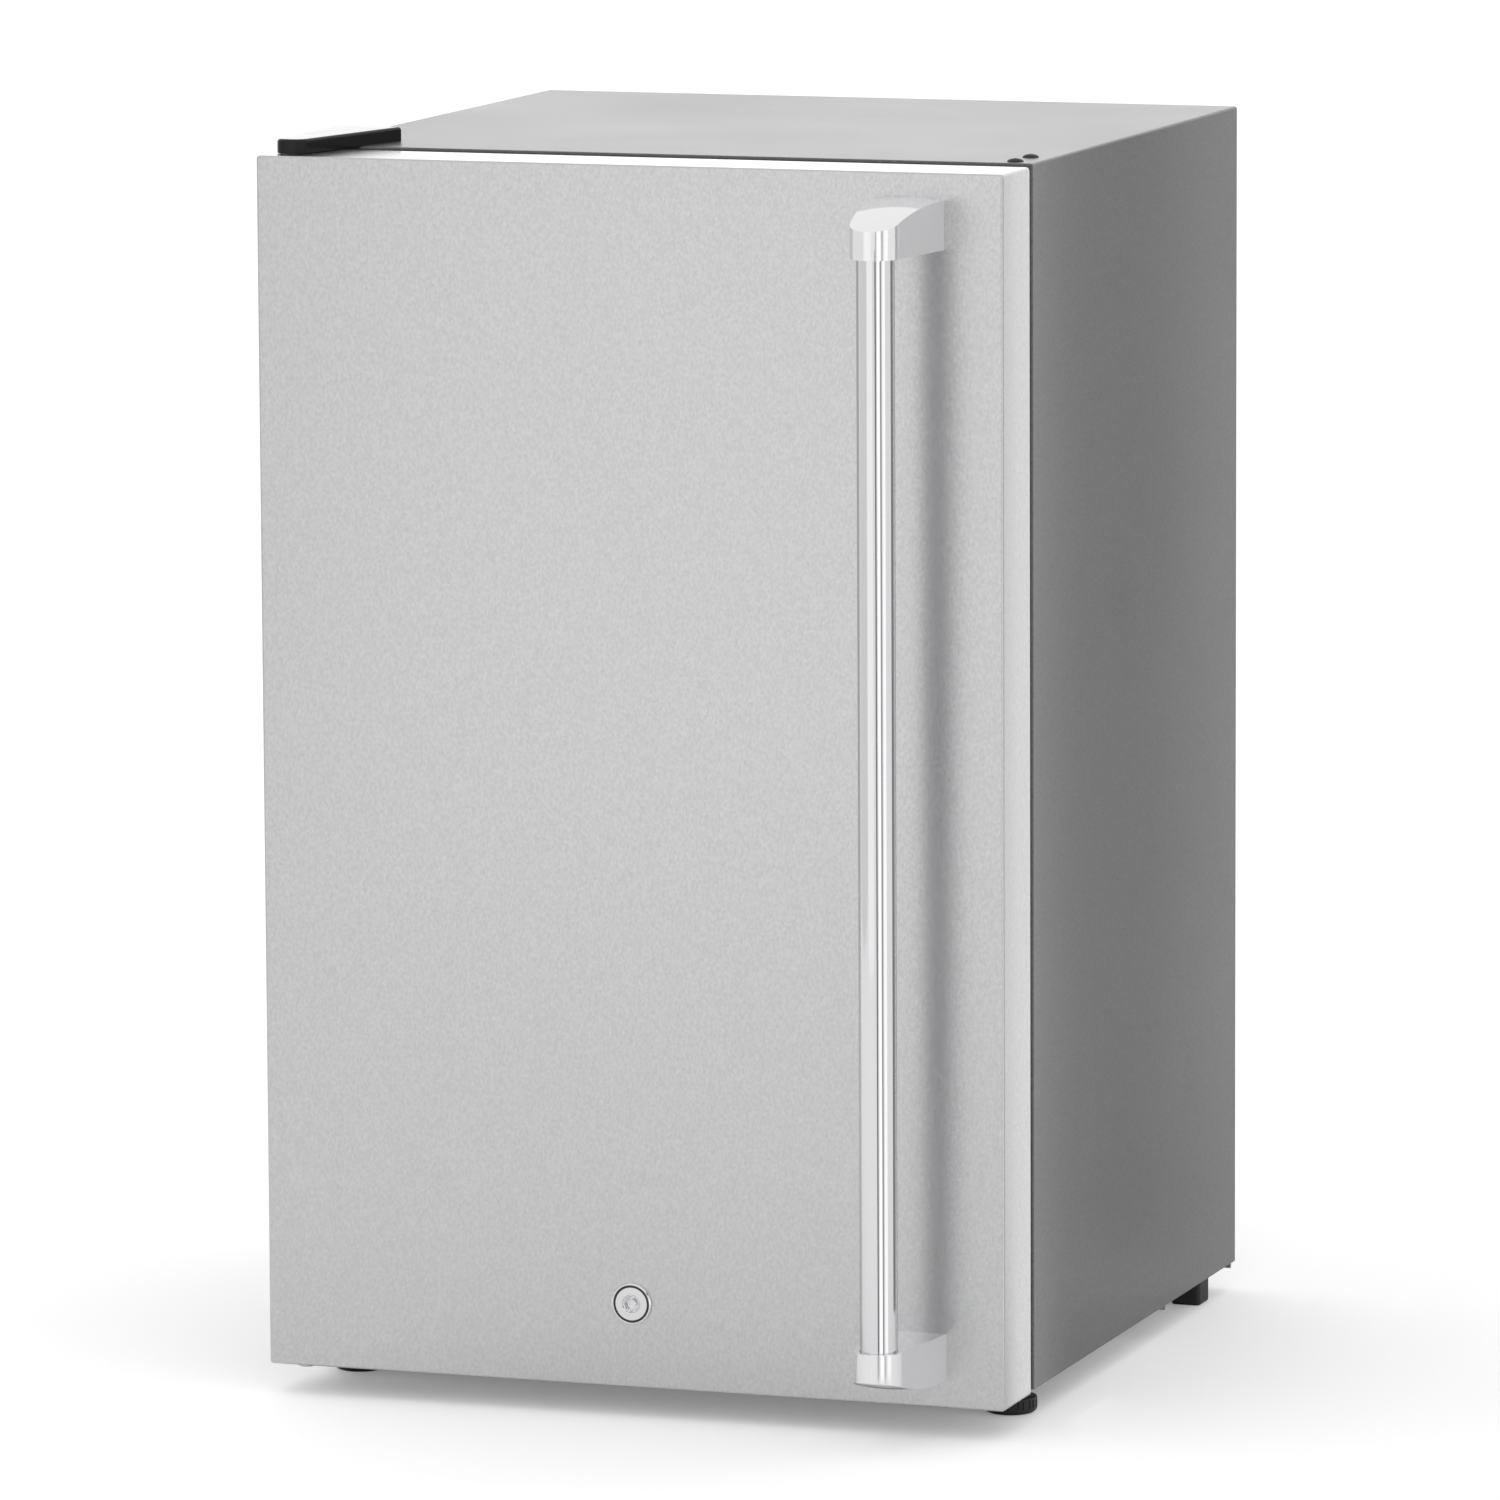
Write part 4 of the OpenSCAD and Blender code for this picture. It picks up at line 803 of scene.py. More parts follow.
class FRIDGE_OT_handle(bpy.types.Operator):
    """Tubular handle with its two crowned end brackets"""
    bl_idname = "fridge.handle"
    bl_label = "Handle"

    def execute(self, context):
        s = sizes()
        t = Span("handle_tube")
        r = t.x1 - t.x
        ends = [(r - 1.5 * MM, t.z0)] + [(r, t.z0 + 0.5 * MM), (r, t.z1 - 0.5 * MM)] + \
            [(r - 1.5 * MM, t.z1)]
        tube = turned("Z", t.x, t.y, ends, s.round_sides, capped=False)
        deliver(wall(tube, 1.4 * MM), "handle_bar", "door", "polished", "handle_tube")
        upper = self.bracket(s, t)
        low = Span("handle_bracket_bottom")
        top = Span("handle_bracket_top")
        lower = copy_of(upper, (0, 0, low.z0 + top.z1), (1, 1, -1))
        deliver(upper, "upper_bracket", "door", "polished", "handle_bracket_top", smooth=35)
        deliver(lower, "lower_bracket", "door", "polished", "handle_bracket_bottom", smooth=35)
        # The brackets take the lighter copy of the polish, a painted highlight, in place of the
        # tube's own polish
        for piece in (upper, lower):
            piece.data.materials[0] = finish_of("polished_lit_copy")
        return {"FINISHED"}

    def bracket(self, s, t):
        """Crowned top face on a grid whose rows follow the plan, closed by a flat inner face"""
        b = Span("handle_bracket_top")
        nose = t.y - b.y0
        foot = b.x1 - b.x
        reach = b.y1 - b.y0
        across, nose_rows, arm_rows = 12, 10, 16
        rows = [(t.y - nose * cos(pi / 2 * i / nose_rows), nose * sin(pi / 2 * i / nose_rows))
                for i in range(nose_rows)]
        rows += [(t.y + (b.y1 - t.y) * i / arm_rows, nose + (foot - nose) * i / arm_rows)
                 for i in range(arm_rows + 1)]
        clear()
        bpy.ops.mesh.primitive_grid_add(x_subdivisions=across, y_subdivisions=len(rows) - 1,
                                        size=2, location=(b.x, 0, b.z1))
        piece = settle(bpy.context.object)
        edit(piece)
        for i in range(across + 1):
            u = 2 * i / across - 1
            pick("VERT", lambda v: v.index % (across + 1) == i)
            bpy.ops.transform.translate(value=(0, 0, -s.bracket_crown * u * u))
        for j, (y, half) in enumerate(rows):
            pick("VERT", lambda v: v.index // (across + 1) == j)
            fall = s.bracket_fall * ((b.y1 - y) / reach) ** 2.2
            share = half / foot
            bpy.ops.transform.translate(value=(0, y - (2 * j / (len(rows) - 1) - 1), -fall))
            resize((max(half, 1e-5), 1, max(share, 0.3)), (b.x, y, b.z1 - fall))
        bpy.ops.mesh.select_all(action="SELECT")
        extrude((0, 0, -s.bracket_height))
        resize((1, 1, 0), (b.x, t.y, b.z0))
        outward(piece)
        ease(piece, 0.9 * MM, 3, 50)
        gap = t.x1 - t.x + s.socket_gap
        return cut(piece, turned("Z", t.x, t.y, [(gap, b.z0 - 5 * MM), (gap, t.z1 + 0.5 * MM)],
                                 s.round_sides))


class FRIDGE_OT_lock(bpy.types.Operator):
    """Cam lock in the door and its keeper in the cabinet"""
    bl_idname = "fridge.lock"
    bl_label = "Lock"

    def execute(self, context):
        s = sizes()
        b = Span("lock_body")
        c = Span("lock_cylinder")
        door = Span("door_skin")
        face = door.y0
        r = b.x1 - b.x
        core = c.x1 - c.x
        barrel = 9.5 * MM
        bezel = [(core + 0.06 * MM, face - 1.9 * MM), (core + 0.4 * MM, face - 2.2 * MM),
                 (r - 2.9 * MM, face - 2.2 * MM), (r - 2.6 * MM, face - 1.9 * MM),
                 (r - 2.5 * MM, face - 0.5 * MM), (r - 1.7 * MM, face - 0.5 * MM),
                 (r - 1.6 * MM, face - 2.0 * MM), (r - 1.3 * MM, face - 2.4 * MM),
                 (r - 0.8 * MM, face - 2.4 * MM), (r - 0.2 * MM, face - 2.0 * MM),
                 (r, face - 1.4 * MM), (r, face), (barrel, face), (barrel, b.y1 - 0.6 * MM),
                 (barrel - 0.6 * MM, b.y1), (core + 0.06 * MM, b.y1),
                 (core + 0.06 * MM, face - 1.9 * MM)]
        deliver(turned("Y", b.x, b.z, bezel, s.round_sides, capped=False), "lock_barrel", "door",
                "polished", "lock_body", smooth=30)
        # Black ring filling the bezel's groove: painted shade standing for the dark gap there, not
        # a real seal
        ring = (r - 3.0 * MM, r - 1.5 * MM, face - 2.25 * MM, face - 0.6 * MM)
        groove_shade = [(ring[0], ring[3]), (ring[0], ring[2]), (ring[1], ring[2]), (ring[1], ring[3]),
                (ring[0], ring[3])]
        deliver(ease(turned("Y", b.x, b.z, groove_shade, s.round_sides, capped=False), 0.15 * MM, 2),
                "lock_groove_shade", "door", "rubber_black", smooth=30)
        tail = core - 1 * MM
        plug = [(1.2 * MM, c.y0 + 0.5 * MM), (1.4 * MM, c.y0 + 0.1 * MM), (2.6 * MM, c.y0),
                (3 * MM, c.y0 + 0.3 * MM), (3 * MM, c.y0 + 6 * MM), (5 * MM, c.y0 + 6 * MM),
                (5 * MM, c.y0 + 0.2 * MM), (5.2 * MM, c.y0), (core - 0.2 * MM, c.y0),
                (core, c.y0 + 0.2 * MM), (core, door.y1 + 7 * MM), (tail, door.y1 + 7.4 * MM),
                (tail, c.y1 - 0.4 * MM), (tail - 0.4 * MM, c.y1)]
        core_piece = turned("Y", c.x, c.z, plug, 48)
        notch = block((c.x - 0.9 * MM, c.y0 - 1 * MM, c.z - core + 0.2 * MM),
                      (c.x + 0.9 * MM, c.y0 + 5 * MM, c.z - core + 1.8 * MM))
        deliver(cut(core_piece, notch), "lock_plug", "lock_core", "polished", "lock_cylinder",
                smooth=30)
        deliver(eased_copy("lock_cam", 0.4 * MM), "lock_bar", "lock_core", "zinc_steel",
                "lock_cam")
        deliver(eased_copy("lock_nut", 0.4 * MM), "lock_ring_nut", "door", "zinc_steel",
                "lock_nut")
        deliver(eased_copy("lock_keeper", 0.5 * MM), "lock_pocket", "cabinet", "zinc_steel",
                "lock_keeper")
        return {"FINISHED"}


class FRIDGE_OT_gasket(bpy.types.Operator):
    """Bellows gasket round the door's back"""
    bl_idname = "fridge.gasket"
    bl_label = "Gasket"

    def execute(self, context):
        g = Span("door_gasket")
        width = 20
        depth = (g.y1 - g.y0) / MM
        half = [(4, 0), (4, depth * 0.1), (6.4, depth * 0.24), (4, depth * 0.4),
                (3.6, depth - 8), (0.4, depth - 7.6), (0, depth - 7), (0, depth - 1.4),
                (0.5, depth - 0.4), (1.6, depth), (6.5, depth - 0.15), (8, depth - 0.6)]
        profile = half + [(width - i, y) for i, y in reversed(half)]
        steps = [(g.x, g.z, g.x1 - g.x - i * MM, g.z1 - g.z - i * MM, g.y0 + y * MM)
                 for i, y in profile + profile[:1]]
        ring = drawn("Y", steps, corner=2.5 * MM, sides=4, capped=False)
        deliver(ring, "door_seal", "door", "rubber_black", "door_gasket", smooth=32)
        return {"FINISHED"}


# ---- inside ----

def cavity():
    """Outer box of the liner's cavity, and where its rear step begins"""
    b = Span("inner_liner")
    flange = 7.6 * MM
    step = (Span("base_plate").y0 - 42 * MM, Span("evaporator_plate").z0 - 60 * MM)
    return (-b.x1 + flange, b.y0, b.z0 + flange), (b.x1 - flange, b.y1, b.z1 - flange), step


def shelf_levels():
    t = Span("shelf_trims")
    pitch = (t.z1 - t.z0 - 6.5 * MM) / 2
    return [t.z0 + i * pitch for i in range(3)]


class FRIDGE_OT_liner(bpy.types.Operator):
    """Vacuum-formed inner liner with its shelf ledges"""
    bl_idname = "fridge.liner"
    bl_label = "Inner liner"

    def execute(self, context):
        s = sizes()
        low, high, (step_y, step_z) = cavity()
        front, past = low[1] + s.liner_wall, 0.1
        shell = block((low[0], front, low[2]), high)
        cut(shell, block((low[0] - past, step_y, low[2] - past),
                         (high[0] + past, high[1] + past, step_z)))
        edit(shell)
        pick("FACE", lambda f: all(v.co.y < front + WELD for v in f.verts))
        bpy.ops.mesh.delete(type="FACE")
        settle(shell)
        ease(shell, s.liner_round, 6, 50)
        edit(shell)
        pick("EDGE", lambda e: e.is_boundary)
        extrude((0, 0, 0))
        flange = 7.6 * MM
        middle = (low[2] + high[2]) / 2
        resize((1 + flange / high[0], 1, 1 + flange / (high[2] - middle)), (0, front, middle))
        outward(shell)
        ease(shell, 2.5 * MM, 3, 60)
        wall(shell, s.liner_wall)
        glass = Span("shelf_trims")
        inner = high[0] - s.liner_wall
        ledges = []
        for z in shelf_levels():
            ledge = block((inner - 9 * MM, glass.y0 - 6 * MM, z - 8 * MM),
                          (inner + 1 * MM, glass.y1, z), 0, 2.4 * MM)
            ledges += [ledge, copy_of(ledge, scale=(-1, 1, 1))]
        deliver(shell, "cavity_liner", "cabinet", "white_plastic", "inner_liner", smooth=35)
        deliver(join(ledges), "shelf_ledge_bars", "cabinet", "white_plastic", "shelf_ledges",
                smooth=35)
        return {"FINISHED"}


class FRIDGE_OT_door_liner(bpy.types.Operator):
    """Vacuum-formed door liner with its raised rim and bin lugs"""
    bl_idname = "fridge.door_liner"
    bl_label = "Door liner"

    def execute(self, context):
        p = Span("door_liner")
        low, high = cavity()[:2]
        sheet = p.y0 + 1.5 * MM
        rim_side, rim_foot, rim_head = 12 * MM, 12 * MM, 10 * MM
        rim_width, draft = 20 * MM, 1.2 * MM
        recess, recess_depth = 80 * MM, 3 * MM
        rim = (high[0] - rim_side, low[2] + rim_foot, high[2] - rim_head)

        def ring(inset, y):
            z0, z1 = rim[1] + inset, rim[2] - inset
            return (0, (z0 + z1) / 2, rim[0] - inset, (z1 - z0) / 2, y)

        outer = (0, p.z, p.x1 - 0.2 * MM, p.z1 - p.z - 0.2 * MM, sheet)
        steps = [outer, ring(0, sheet), ring(draft, p.y1), ring(rim_width - draft, p.y1),
                 ring(rim_width, sheet), ring(recess, sheet),
                 ring(recess + 2 * recess_depth, sheet + recess_depth)]
        panel = drawn("Y", steps, corner=7 * MM, sides=4, capped=False)
        edit(panel)
        inside = rim[0] - 15 * MM
        pick("EDGE", lambda e: e.is_boundary and all(abs(v.co.x) < inside for v in e.verts))
        bpy.ops.mesh.edge_face_add()
        outward(settle(panel))
        edit(panel)
        data = bmesh.from_edit_mesh(panel.data)
        if max(data.faces, key=lambda f: f.calc_area()).normal.y < 0:
            bpy.ops.mesh.select_all(action="SELECT")
            bpy.ops.mesh.flip_normals()
        settle(panel)
        ease(panel, 4 * MM, 4, 25)
        wall(panel, 1.4 * MM)
        pieces = [panel]
        edge = rim[0] - rim_width
        for name in ("door_bin_bottom", "door_bin_middle", "door_bin_top"):
            top = Span(name).z1
            lug = block((edge - 4.3 * MM, sheet + 7 * MM, top - 33.8 * MM),
                        (edge + 1.6 * MM, sheet + 31 * MM, top - 26.2 * MM), 0, 1.6 * MM)
            pieces += [lug, copy_of(lug, scale=(-1, 1, 1))]
        deliver(join(pieces), "door_inner_panel", "door", "white_plastic", "door_liner",
                smooth=35)
        return {"FINISHED"}


def tray(low, high, corner, thick, rim, flare=0.0):
    """Open moulded tray with a rolled rim: outside, over the rim and down the inside"""
    mid = [(low[i] + high[i]) / 2 for i in range(3)]
    hx, hy = high[0] - mid[0], high[1] - mid[1]
    foot = 2.5 * MM
    profile = [(foot + flare, low[2]), (0.8 * MM + flare, low[2] + 0.8 * MM),
               (flare, low[2] + foot), (rim * 0.3, high[2] - 7 * MM), (0, high[2] - 6 * MM),
               (0, high[2] - 0.8 * MM), (0.8 * MM, high[2]), (rim - 0.8 * MM, high[2]),
               (rim, high[2] - 0.8 * MM), (thick + rim * 0.3, high[2] - 6 * MM),
               (thick + flare, low[2] + foot + thick), (thick + flare + foot * 0.3,
                                                        low[2] + thick + foot * 0.3),
               (thick + flare + foot, low[2] + thick)]
    steps = [(mid[0], mid[1], hx - i, hy - i, z) for i, z in profile]
    return drawn("Z", steps, corner=corner, sides=6)


class FRIDGE_OT_shelves(bpy.types.Operator):
    """Glass shelves with moulded edge strips, and the door bins"""
    bl_idname = "fridge.shelves"
    bl_label = "Shelves and bins"

    def execute(self, context):
        g = Span("shelf_glass")
        panes = []
        for z in shelf_levels():
            panes.append(block((g.x0, g.y0, z + 1.05 * MM), (g.x1, g.y1, z + 4.95 * MM), 3 * MM,
                               0.5 * MM))
        deliver(join(panes), "glass_panes", "cabinet", "shelf_glass", "shelf_glass")
        deliver(eased_copy("shelf_trims", 0.9 * MM, 3), "shelf_edge_strips", "cabinet",
                "white_plastic", "shelf_trims")
        edge = cavity()[1][0] - 32 * MM
        for name in ("bottom", "middle", "top"):
            b = Span("door_bin_" + name)
            hx = edge - 7 * MM
            shell = tray((-hx, b.y0, b.z0), (hx, b.y1, b.z1), 11 * MM, 2 * MM, 3.4 * MM, 1.5 * MM)
            edit(shell)
            pick("FACE", lambda f: f.normal.y > 0.95 and f.calc_area() > 0.25 * hx * (b.z1 - b.z0)
                 and f.calc_center_median().y > b.y1 - 3 * MM)
            bpy.ops.mesh.inset(thickness=9 * MM)
            bpy.ops.mesh.inset(thickness=1.2 * MM)
            bpy.ops.transform.translate(value=(0, -0.9 * MM, 0))
            settle(shell)
            ear = block((hx - 2.2 * MM, b.y0 + 3 * MM, b.z1 - 26 * MM),
                        (edge - 0.5 * MM, b.y0 + 31 * MM, b.z1 - 14 * MM), 0, 1.4 * MM)
            parts = [shell, ear, copy_of(ear, scale=(-1, 1, 1))]
            deliver(join(parts), name + "_bin", "door", "white_plastic", "door_bin_" + name,
                    smooth=35)
        return {"FINISHED"}


class FRIDGE_OT_controls(bpy.types.Operator):
    """Thermostat and lamp box with its knob, dial numbers and switch"""
    bl_idname = "fridge.controls"
    bl_label = "Controls"

    def execute(self, context):
        deliver(eased_copy("control_housing", 1.1 * MM, 3), "control_box", "cabinet",
                "white_plastic", "control_housing")
        deliver(eased_copy("lamp_lens", 0.6 * MM), "lamp_window", "cabinet", "lens", "lamp_lens")
        deliver(eased_copy("light_switch", 0.6 * MM), "lamp_rocker", "rocker", "white_plastic",
                "light_switch")
        box = Span("control_housing")
        k = Span("thermostat_knob")
        base = box.x0 - 0.4 * MM
        r = k.z1 - k.z
        profile = [(2.6 * MM, k.x1), (3 * MM, k.x1 - 0.4 * MM), (3 * MM, base),
                   (r - 0.4 * MM, base), (r, base - 0.4 * MM), (r, base - 3.2 * MM),
                   (r - 0.8 * MM, base - 4 * MM),
                   (r - 3.2 * MM, base - 4.3 * MM), (r - 3.8 * MM, base - 11.6 * MM),
                   (r - 4.8 * MM, base - 12.9 * MM)]
        knob = turned("X", k.y, k.z, profile, 64)
        edit(knob)
        pick("FACE", lambda f: abs(f.normal.x) < 0.3 and f.calc_center_median().x < base - 5 * MM
             and f.index % 3 == 0)
        bpy.ops.mesh.inset(thickness=0.25 * MM, use_individual=True)
        bpy.ops.transform.shrink_fatten(value=-0.45 * MM)
        settle(knob)
        grip_y, grip_z = 3 * MM, r - 3.5 * MM
        grip = block((k.x0, k.y - grip_y, k.z - grip_z),
                     (base - 4 * MM, k.y + grip_y, k.z + grip_z), 2.4 * MM, 0.8 * MM, "X")
        deliver(join([knob, grip]), "dial_knob", "knob", "white_plastic", "thermostat_knob",
                smooth=32)
        marks = []
        for i in range(7):
            t = radians(-135 + 45 * i)
            at = (box.x0 - 0.05 * MM, k.y - (r + 4.5 * MM) * sin(t), k.z + (r + 4.5 * MM) * cos(t))
            clear()
            bpy.ops.object.text_add(location=(0, 0, 0))
            number = context.object
            number.data.body = str(i + 1)
            number.data.size = 5.5 * MM
            number.data.align_x = "CENTER"
            number.data.align_y = "CENTER"
            number.data.extrude = 0.08 * MM
            hold(number)
            bpy.ops.object.convert(target="MESH")
            number = context.object
            number.rotation_euler = (pi / 2, 0, -pi / 2)
            number.location = at
            marks.append(settle(number))
        deliver(join(marks), "dial_numbers", "cabinet", "black_matte")
        return {"FINISHED"}


# ---- cooling machine and feet ----

class FRIDGE_OT_compressor(bpy.types.Operator):
    """Compressor can with its feet, grommets and start relay"""
    bl_idname = "fridge.compressor"
    bl_label = "Compressor"

    def execute(self, context):
        g = Span("compressor_grommets")
        c = Span("compressor")
        x, y = g.x, g.y
        foot_x = g.x1 - 9 * MM
        foot_y = g.y1 - 9 * MM - y
        r = foot_x - x - 10 * MM
        belt = c.z0 + (c.z1 - c.z0) * 0.52
        profile = [(2 * MM, c.z0)]
        profile += [(r - 24 * MM + 24 * MM * cos(t), c.z0 + 24 * MM + 24 * MM * sin(t))
                    for t in (radians(a) for a in range(-90, 1, 10))]
        profile += [(r, belt), (r + 2.4 * MM, belt), (r + 3 * MM, belt + 0.8 * MM),
                    (r + 3 * MM, belt + 4.2 * MM), (r + 2.2 * MM, belt + 5 * MM),
                    (r - 0.6 * MM, belt + 5.4 * MM), (r - 1.5 * MM, belt + 6.5 * MM)]
        profile += [(r - 41.5 * MM + 40 * MM * cos(t), c.z1 - 34 * MM + 34 * MM * sin(t))
                    for t in (radians(a) for a in range(0, 91, 9))]
        profile.append((2 * MM, c.z1))
        parts = [turned("Z", x, y, profile, sizes().round_sides)]
        for side in (-1, 1):
            at = x + side * (foot_x - x)
            plate = block((at - 13 * MM, y - foot_y - 12 * MM, c.z0 + 2 * MM),
                          (at + 13 * MM, y + foot_y + 12 * MM, c.z0 + 5 * MM), 7 * MM, 0.6 * MM)
            for end in (-1, 1):
                cut(plate, turned("Z", at, y + end * foot_y,
                                  [(6 * MM, c.z0), (6 * MM, c.z0 + 0.01)]))
            parts.append(plate)
            inner = x + side * (r - 16 * MM)
            parts.append(block((min(inner, at), y - 20 * MM, c.z0 + 2.2 * MM),
                               (max(inner, at), y + 20 * MM, c.z0 + 4.8 * MM), 0, 0.4 * MM))
        for dy, stub in ((-18 * MM, 4 * MM), (18 * MM, 3 * MM)):
            start = x + r - 4 * MM
            pipe = [(stub + 2.5 * MM, start), (stub + 2.5 * MM, start + 6.5 * MM),
                    (stub + 0.6 * MM, start + 8 * MM), (stub, start + 9 * MM),
                    (stub, start + 18 * MM)]
            parts.append(turned("X", y + dy, c.z0 + 52 * MM, pipe, 32))
        deliver(join(parts), "compressor_can", "cabinet", "black_enamel", "compressor")
        for node, name, slot, width in (
                ("compressor_grommets", "can_grommets", "rubber_black", 0.9),
                ("start_relay", "relay_cover", "black_matte", 1.2),
                ("base_plate", "machine_base", "zinc_steel", 0.6),
                ("drain_tube", "drain_pipe", "white_plastic", 0.3),
                ("evaporator_plate", "evaporator", "aluminium_sheet", 0.3),
                ("condenser_clips", "grid_clips", "black_matte", 0.7)):
            deliver(eased_copy(node, width * MM), name, "cabinet", slot, node)
        t = Span("drip_tray")
        deliver(tray((t.x0, t.y0, t.z0), (t.x1, t.y1, t.z1), 8 * MM, 1.8 * MM, 2.6 * MM, 0.6 * MM),
                "meltwater_tray", "cabinet", "white_plastic", "drip_tray")
        return {"FINISHED"}


class FRIDGE_OT_lines(bpy.types.Operator):
    """Smooth refrigerant lines, the filter drier and the cord gland"""
    bl_idname = "fridge.lines"
    bl_label = "Refrigerant lines"

    def execute(self, context):
        g = Span("compressor_grommets")
        c = Span("compressor")
        wires = Span("condenser_wires")
        plate = Span("evaporator_plate")
        d = Span("filter_drier")
        liner_back = Span("inner_liner").y1
        roof = Span("back_panel").z0 - 1 * MM
        line_y = Span("outer_shell").y1 - 24 * MM
        line_z = plate.z0 + 10 * MM
        stub = c.x1
        grid_x, grid_y = wires.x1 + 11.1 * MM, wires.y
        low_run, high_run = wires.z0 + 8 * MM, wires.z1 - 8 * MM
        side = Span("outer_shell").x1 - 20 * MM
        z = c.z0
        step = 12 * MM
        routes = (
            (3, 14, [(40 * MM, liner_back + 8 * MM, line_z), (40 * MM, line_y, line_z),
                     (40 * MM, line_y, z + 0.11), (stub + 16 * MM, g.y + 50 * MM, z + 0.09),
                     (stub + 16 * MM, g.y - 18 * MM, z + 0.052), (stub, g.y - 18 * MM, z + 0.052)]),
            (2.5, 10, [(stub, g.y + 18 * MM, z + 0.052), (stub + step, g.y + 18 * MM, z + 0.052),
                       (stub + step, g.y + 56 * MM, z + 0.04), (grid_x + step, grid_y, z + 0.04),
                       (grid_x + step, grid_y, low_run), (grid_x, grid_y, low_run)]),
            (2.5, 10, [(grid_x, grid_y, high_run), (side, grid_y, high_run),
                       (side, grid_y, roof - 0.03), (d.x, d.y, z + 0.13),
                       (d.x, d.y, d.z1 - 1 * MM)]),
            (1.2, 9, [(d.x, d.y, d.z0 + 1 * MM), (d.x, d.y, z), (0.09, d.y + 0.01, z),
                      (0.09, line_y, z + 0.02), (-0.01, line_y, roof + 0.01),
                      (-0.01, line_y, line_z), (-0.01, liner_back + 8 * MM, line_z)]))
        tubes = [bent_tube(points, radius * MM, bend * MM) for radius, bend, points in routes]
        deliver(join(tubes), "copper_lines", "cabinet", "copper", "refrigerant_lines")
        r = d.x1 - d.x
        body = [(2.6 * MM, d.z0), (3.2 * MM, d.z0 + 3 * MM), (5 * MM, d.z0 + 6 * MM),
                (r - 0.8 * MM, d.z0 + 9 * MM), (r, d.z0 + 12 * MM), (r, d.z1 - 12 * MM),
                (r - 0.8 * MM, d.z1 - 9 * MM), (5 * MM, d.z1 - 6 * MM), (3.2 * MM, d.z1 - 3 * MM),
                (2.6 * MM, d.z1)]
        deliver(turned("Z", d.x, d.y, body, 40), "drier_can", "cabinet", "copper", "filter_drier",
                smooth=50)
        k = Span("cord_gland")
        bore = 3.5 * MM
        head = k.x1 - k.x
        ring = [(bore, k.y0), (7 * MM, k.y0), (8 * MM, k.y0 + 1 * MM), (8 * MM, k.y - 3.5 * MM),
                (10 * MM, k.y - 3.5 * MM), (10.5 * MM, k.y - 3 * MM), (10.5 * MM, k.y - 0.5 * MM),
                (10 * MM, k.y), (8 * MM, k.y), (8 * MM, k.y + 2 * MM), (head, k.y + 2 * MM),
                (head, k.y + 4.4 * MM), (head - 1 * MM, k.y + 5.5 * MM), (8 * MM, k.y + 5.5 * MM),
                (6.4 * MM, k.y1 - 0.6 * MM), (5.8 * MM, k.y1), (bore, k.y1), (bore, k.y0)]
        deliver(turned("Y", k.x, k.z, ring, 40, capped=False), "gland", "cabinet", "rubber_black",
                "cord_gland", smooth=35)
        return {"FINISHED"}


class FRIDGE_OT_feet(bpy.types.Operator):
    """Front levelling feet, their inserts and the rear blocks"""
    bl_idname = "fridge.feet"
    bl_label = "Feet"

    def execute(self, context):
        for side in ("left", "right"):
            f = Span("front_foot_" + side)
            r = f.x1 - f.x
            pad = f.z0 + 11 * MM
            sole = 4 * MM
            profile = [(2 * MM, f.z0)]
            profile += [(r - sole + sole * sin(t), f.z0 + sole - sole * cos(t))
                        for t in (radians(a) for a in range(0, 91, 15))]
            profile += [(r, pad - 1.4 * MM), (r - 0.4 * MM, pad - 0.4 * MM), (r - 1.4 * MM, pad),
                        (8.6 * MM, pad), (8 * MM, pad + 0.6 * MM), (8 * MM, pad + 5.2 * MM),
                        (4 * MM, pad + 5.2 * MM), (4 * MM, f.z1 - 1 * MM), (3 * MM, f.z1)]
            foot = turned("Z", f.x, f.y, profile, 60)
            edit(foot)
            pick("FACE", lambda face: abs(face.normal.z) < 0.1
                 and abs(face.calc_center_median().z - (f.z0 + 6.8 * MM)) < 1.6 * MM
                 and face.index % 5 < 2)
            bpy.ops.mesh.inset(thickness=0.3 * MM)
            bpy.ops.transform.shrink_fatten(value=-0.7 * MM)
            settle(foot)
            deliver(foot, side + "_levelling_foot", side + "_foot", "black_matte",
                    "front_foot_" + side)
        deliver(eased_copy("rear_feet", 1.6 * MM, 3), "rear_blocks", "cabinet", "black_matte",
                "rear_feet")
        deliver(eased_copy("foot_inserts", 0.4 * MM), "foot_nuts", "cabinet", "zinc_steel",
                "foot_inserts")
        return {"FINISHED"}


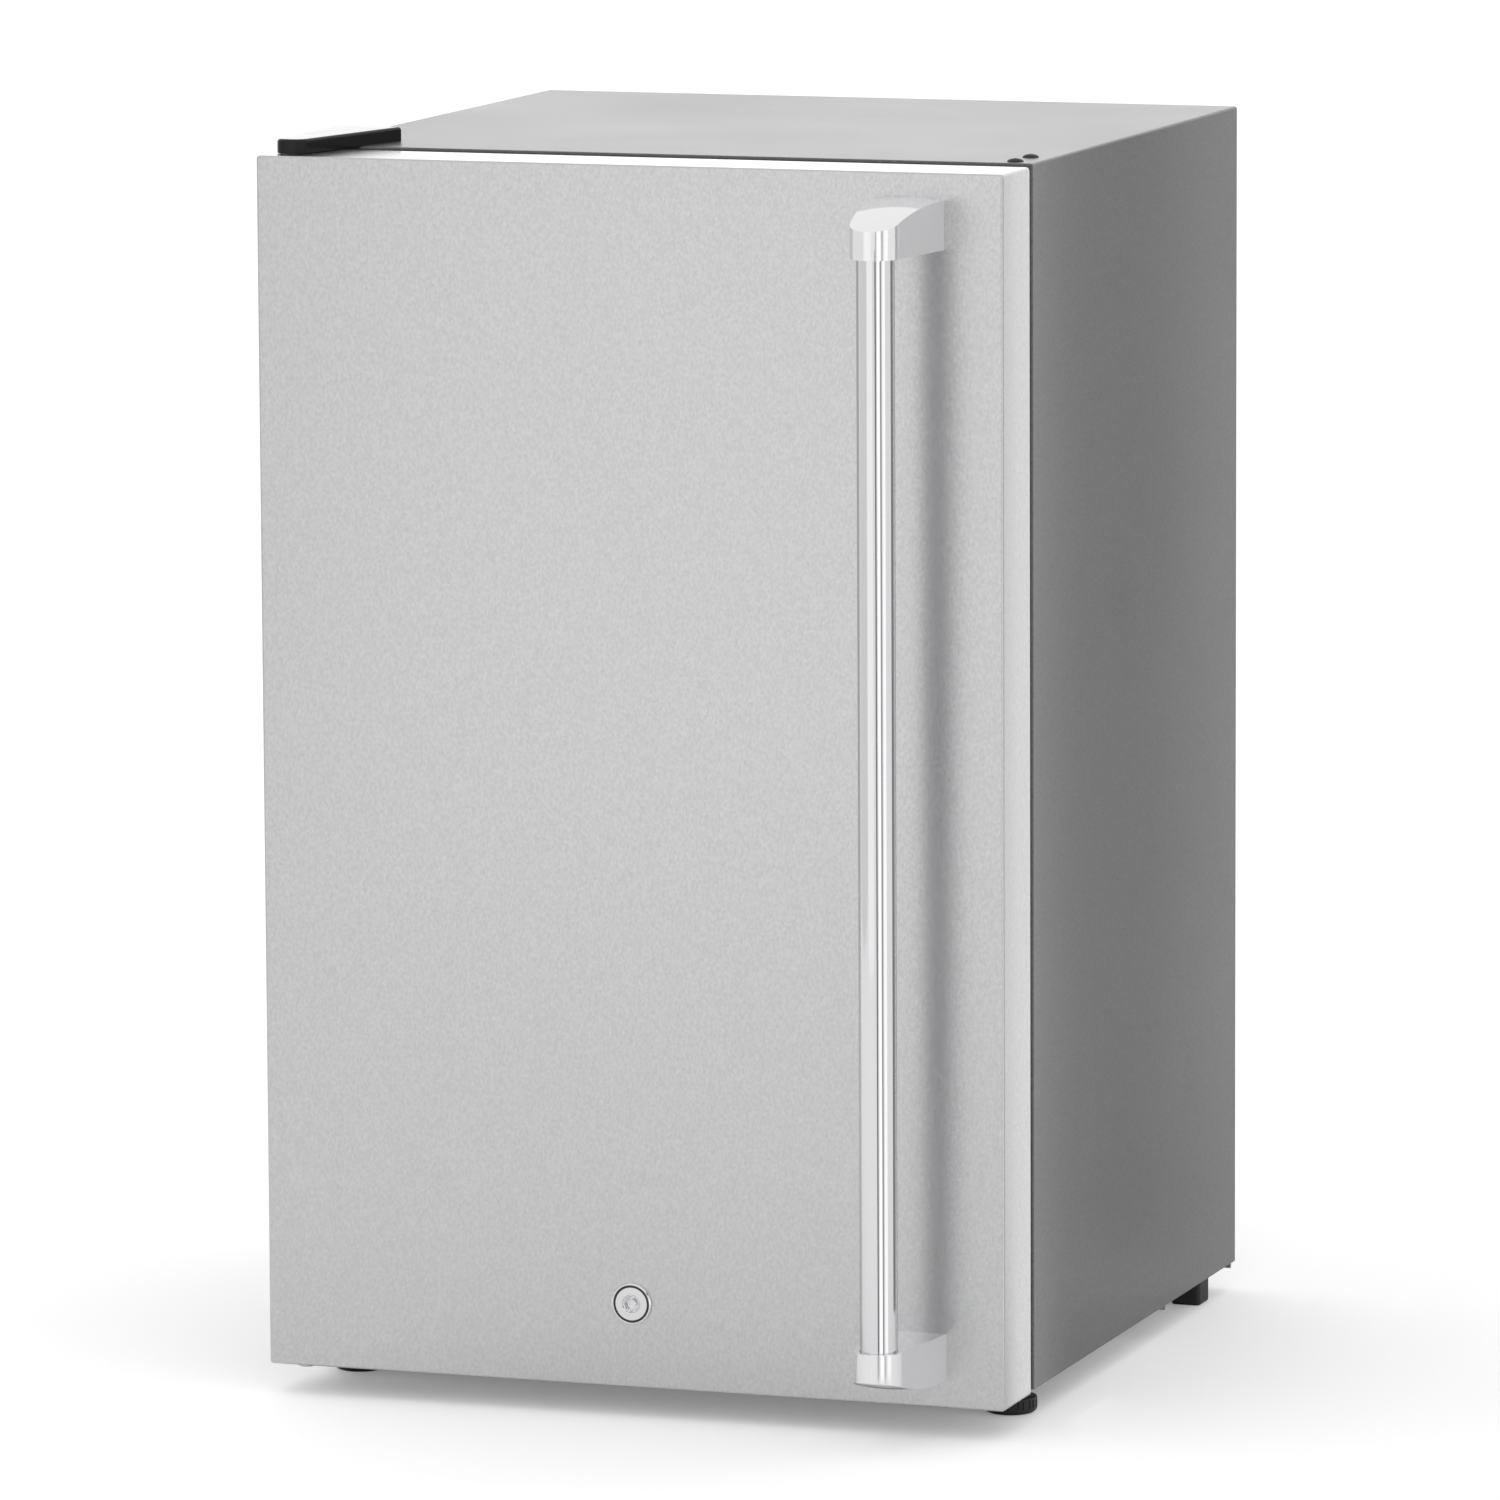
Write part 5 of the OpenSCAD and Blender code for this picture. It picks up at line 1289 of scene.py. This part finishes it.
class FRIDGE_OT_finishes(bpy.types.Operator):
    """Finishes on the CAD nodes that stay as they are"""
    bl_idname = "fridge.finishes"
    bl_label = "Finishes"

    def execute(self, context):
        slots = {p["node"]: p["material_slot"] for p in frame["record"]["subparts"]}
        for name, node in frame["nodes"].items():
            if not node.material_slots:
                node.data.materials.append(None)
            for place in node.material_slots:
                place.material = finish_of(slots[name])
        return {"FINISHED"}


# ---- panel, registration and the run ----

STEPS = ("studio", "cabinet", "hinges", "door", "handle", "lock", "gasket", "liner",
         "door_liner", "shelves", "controls", "compressor", "lines", "feet", "finishes")


class FRIDGE_PT_panel(bpy.types.Panel):
    """Sizes, colours and steps of the refrigerator"""
    bl_label = "Undercounter refrigerator"
    bl_idname = "FRIDGE_PT_panel"
    bl_space_type = "VIEW_3D"
    bl_region_type = "UI"
    bl_category = "Refrigerator"

    def draw(self, context):
        layout = self.layout
        for step in STEPS:
            layout.operator("fridge." + step)
        for group in (context.scene.fridge_sizes, context.scene.fridge_colours,
                      context.scene.fridge_studio):
            for key in group.__annotations__:
                layout.prop(group, key)


GROUPS = (("fridge_sizes", FridgeSizes), ("fridge_colours", FridgeColours),
          ("fridge_studio", FridgeStudio))
CLASSES = (FRIDGE_OT_studio, FRIDGE_OT_cabinet, FRIDGE_OT_hinges, FRIDGE_OT_door,
           FRIDGE_OT_handle, FRIDGE_OT_lock, FRIDGE_OT_gasket, FRIDGE_OT_liner,
           FRIDGE_OT_door_liner, FRIDGE_OT_shelves, FRIDGE_OT_controls, FRIDGE_OT_compressor,
           FRIDGE_OT_lines, FRIDGE_OT_feet, FRIDGE_OT_finishes, FRIDGE_PT_panel)


def register():
    for name, group in GROUPS:
        bpy.utils.register_class(group)
        setattr(bpy.types.Scene, name, PointerProperty(type=group))
    for kind in CLASSES:
        bpy.utils.register_class(kind)


def unregister():
    for kind in reversed(CLASSES):
        bpy.utils.unregister_class(kind)
    for name, group in reversed(GROUPS):
        delattr(bpy.types.Scene, name)
        bpy.utils.unregister_class(group)


def main():
    register()
    for step in STEPS:
        result = getattr(bpy.ops.fridge, step)()
        if "FINISHED" not in result:
            raise RuntimeError(step + " did not finish")
    clear()


if __name__ == "__main__":
    main()
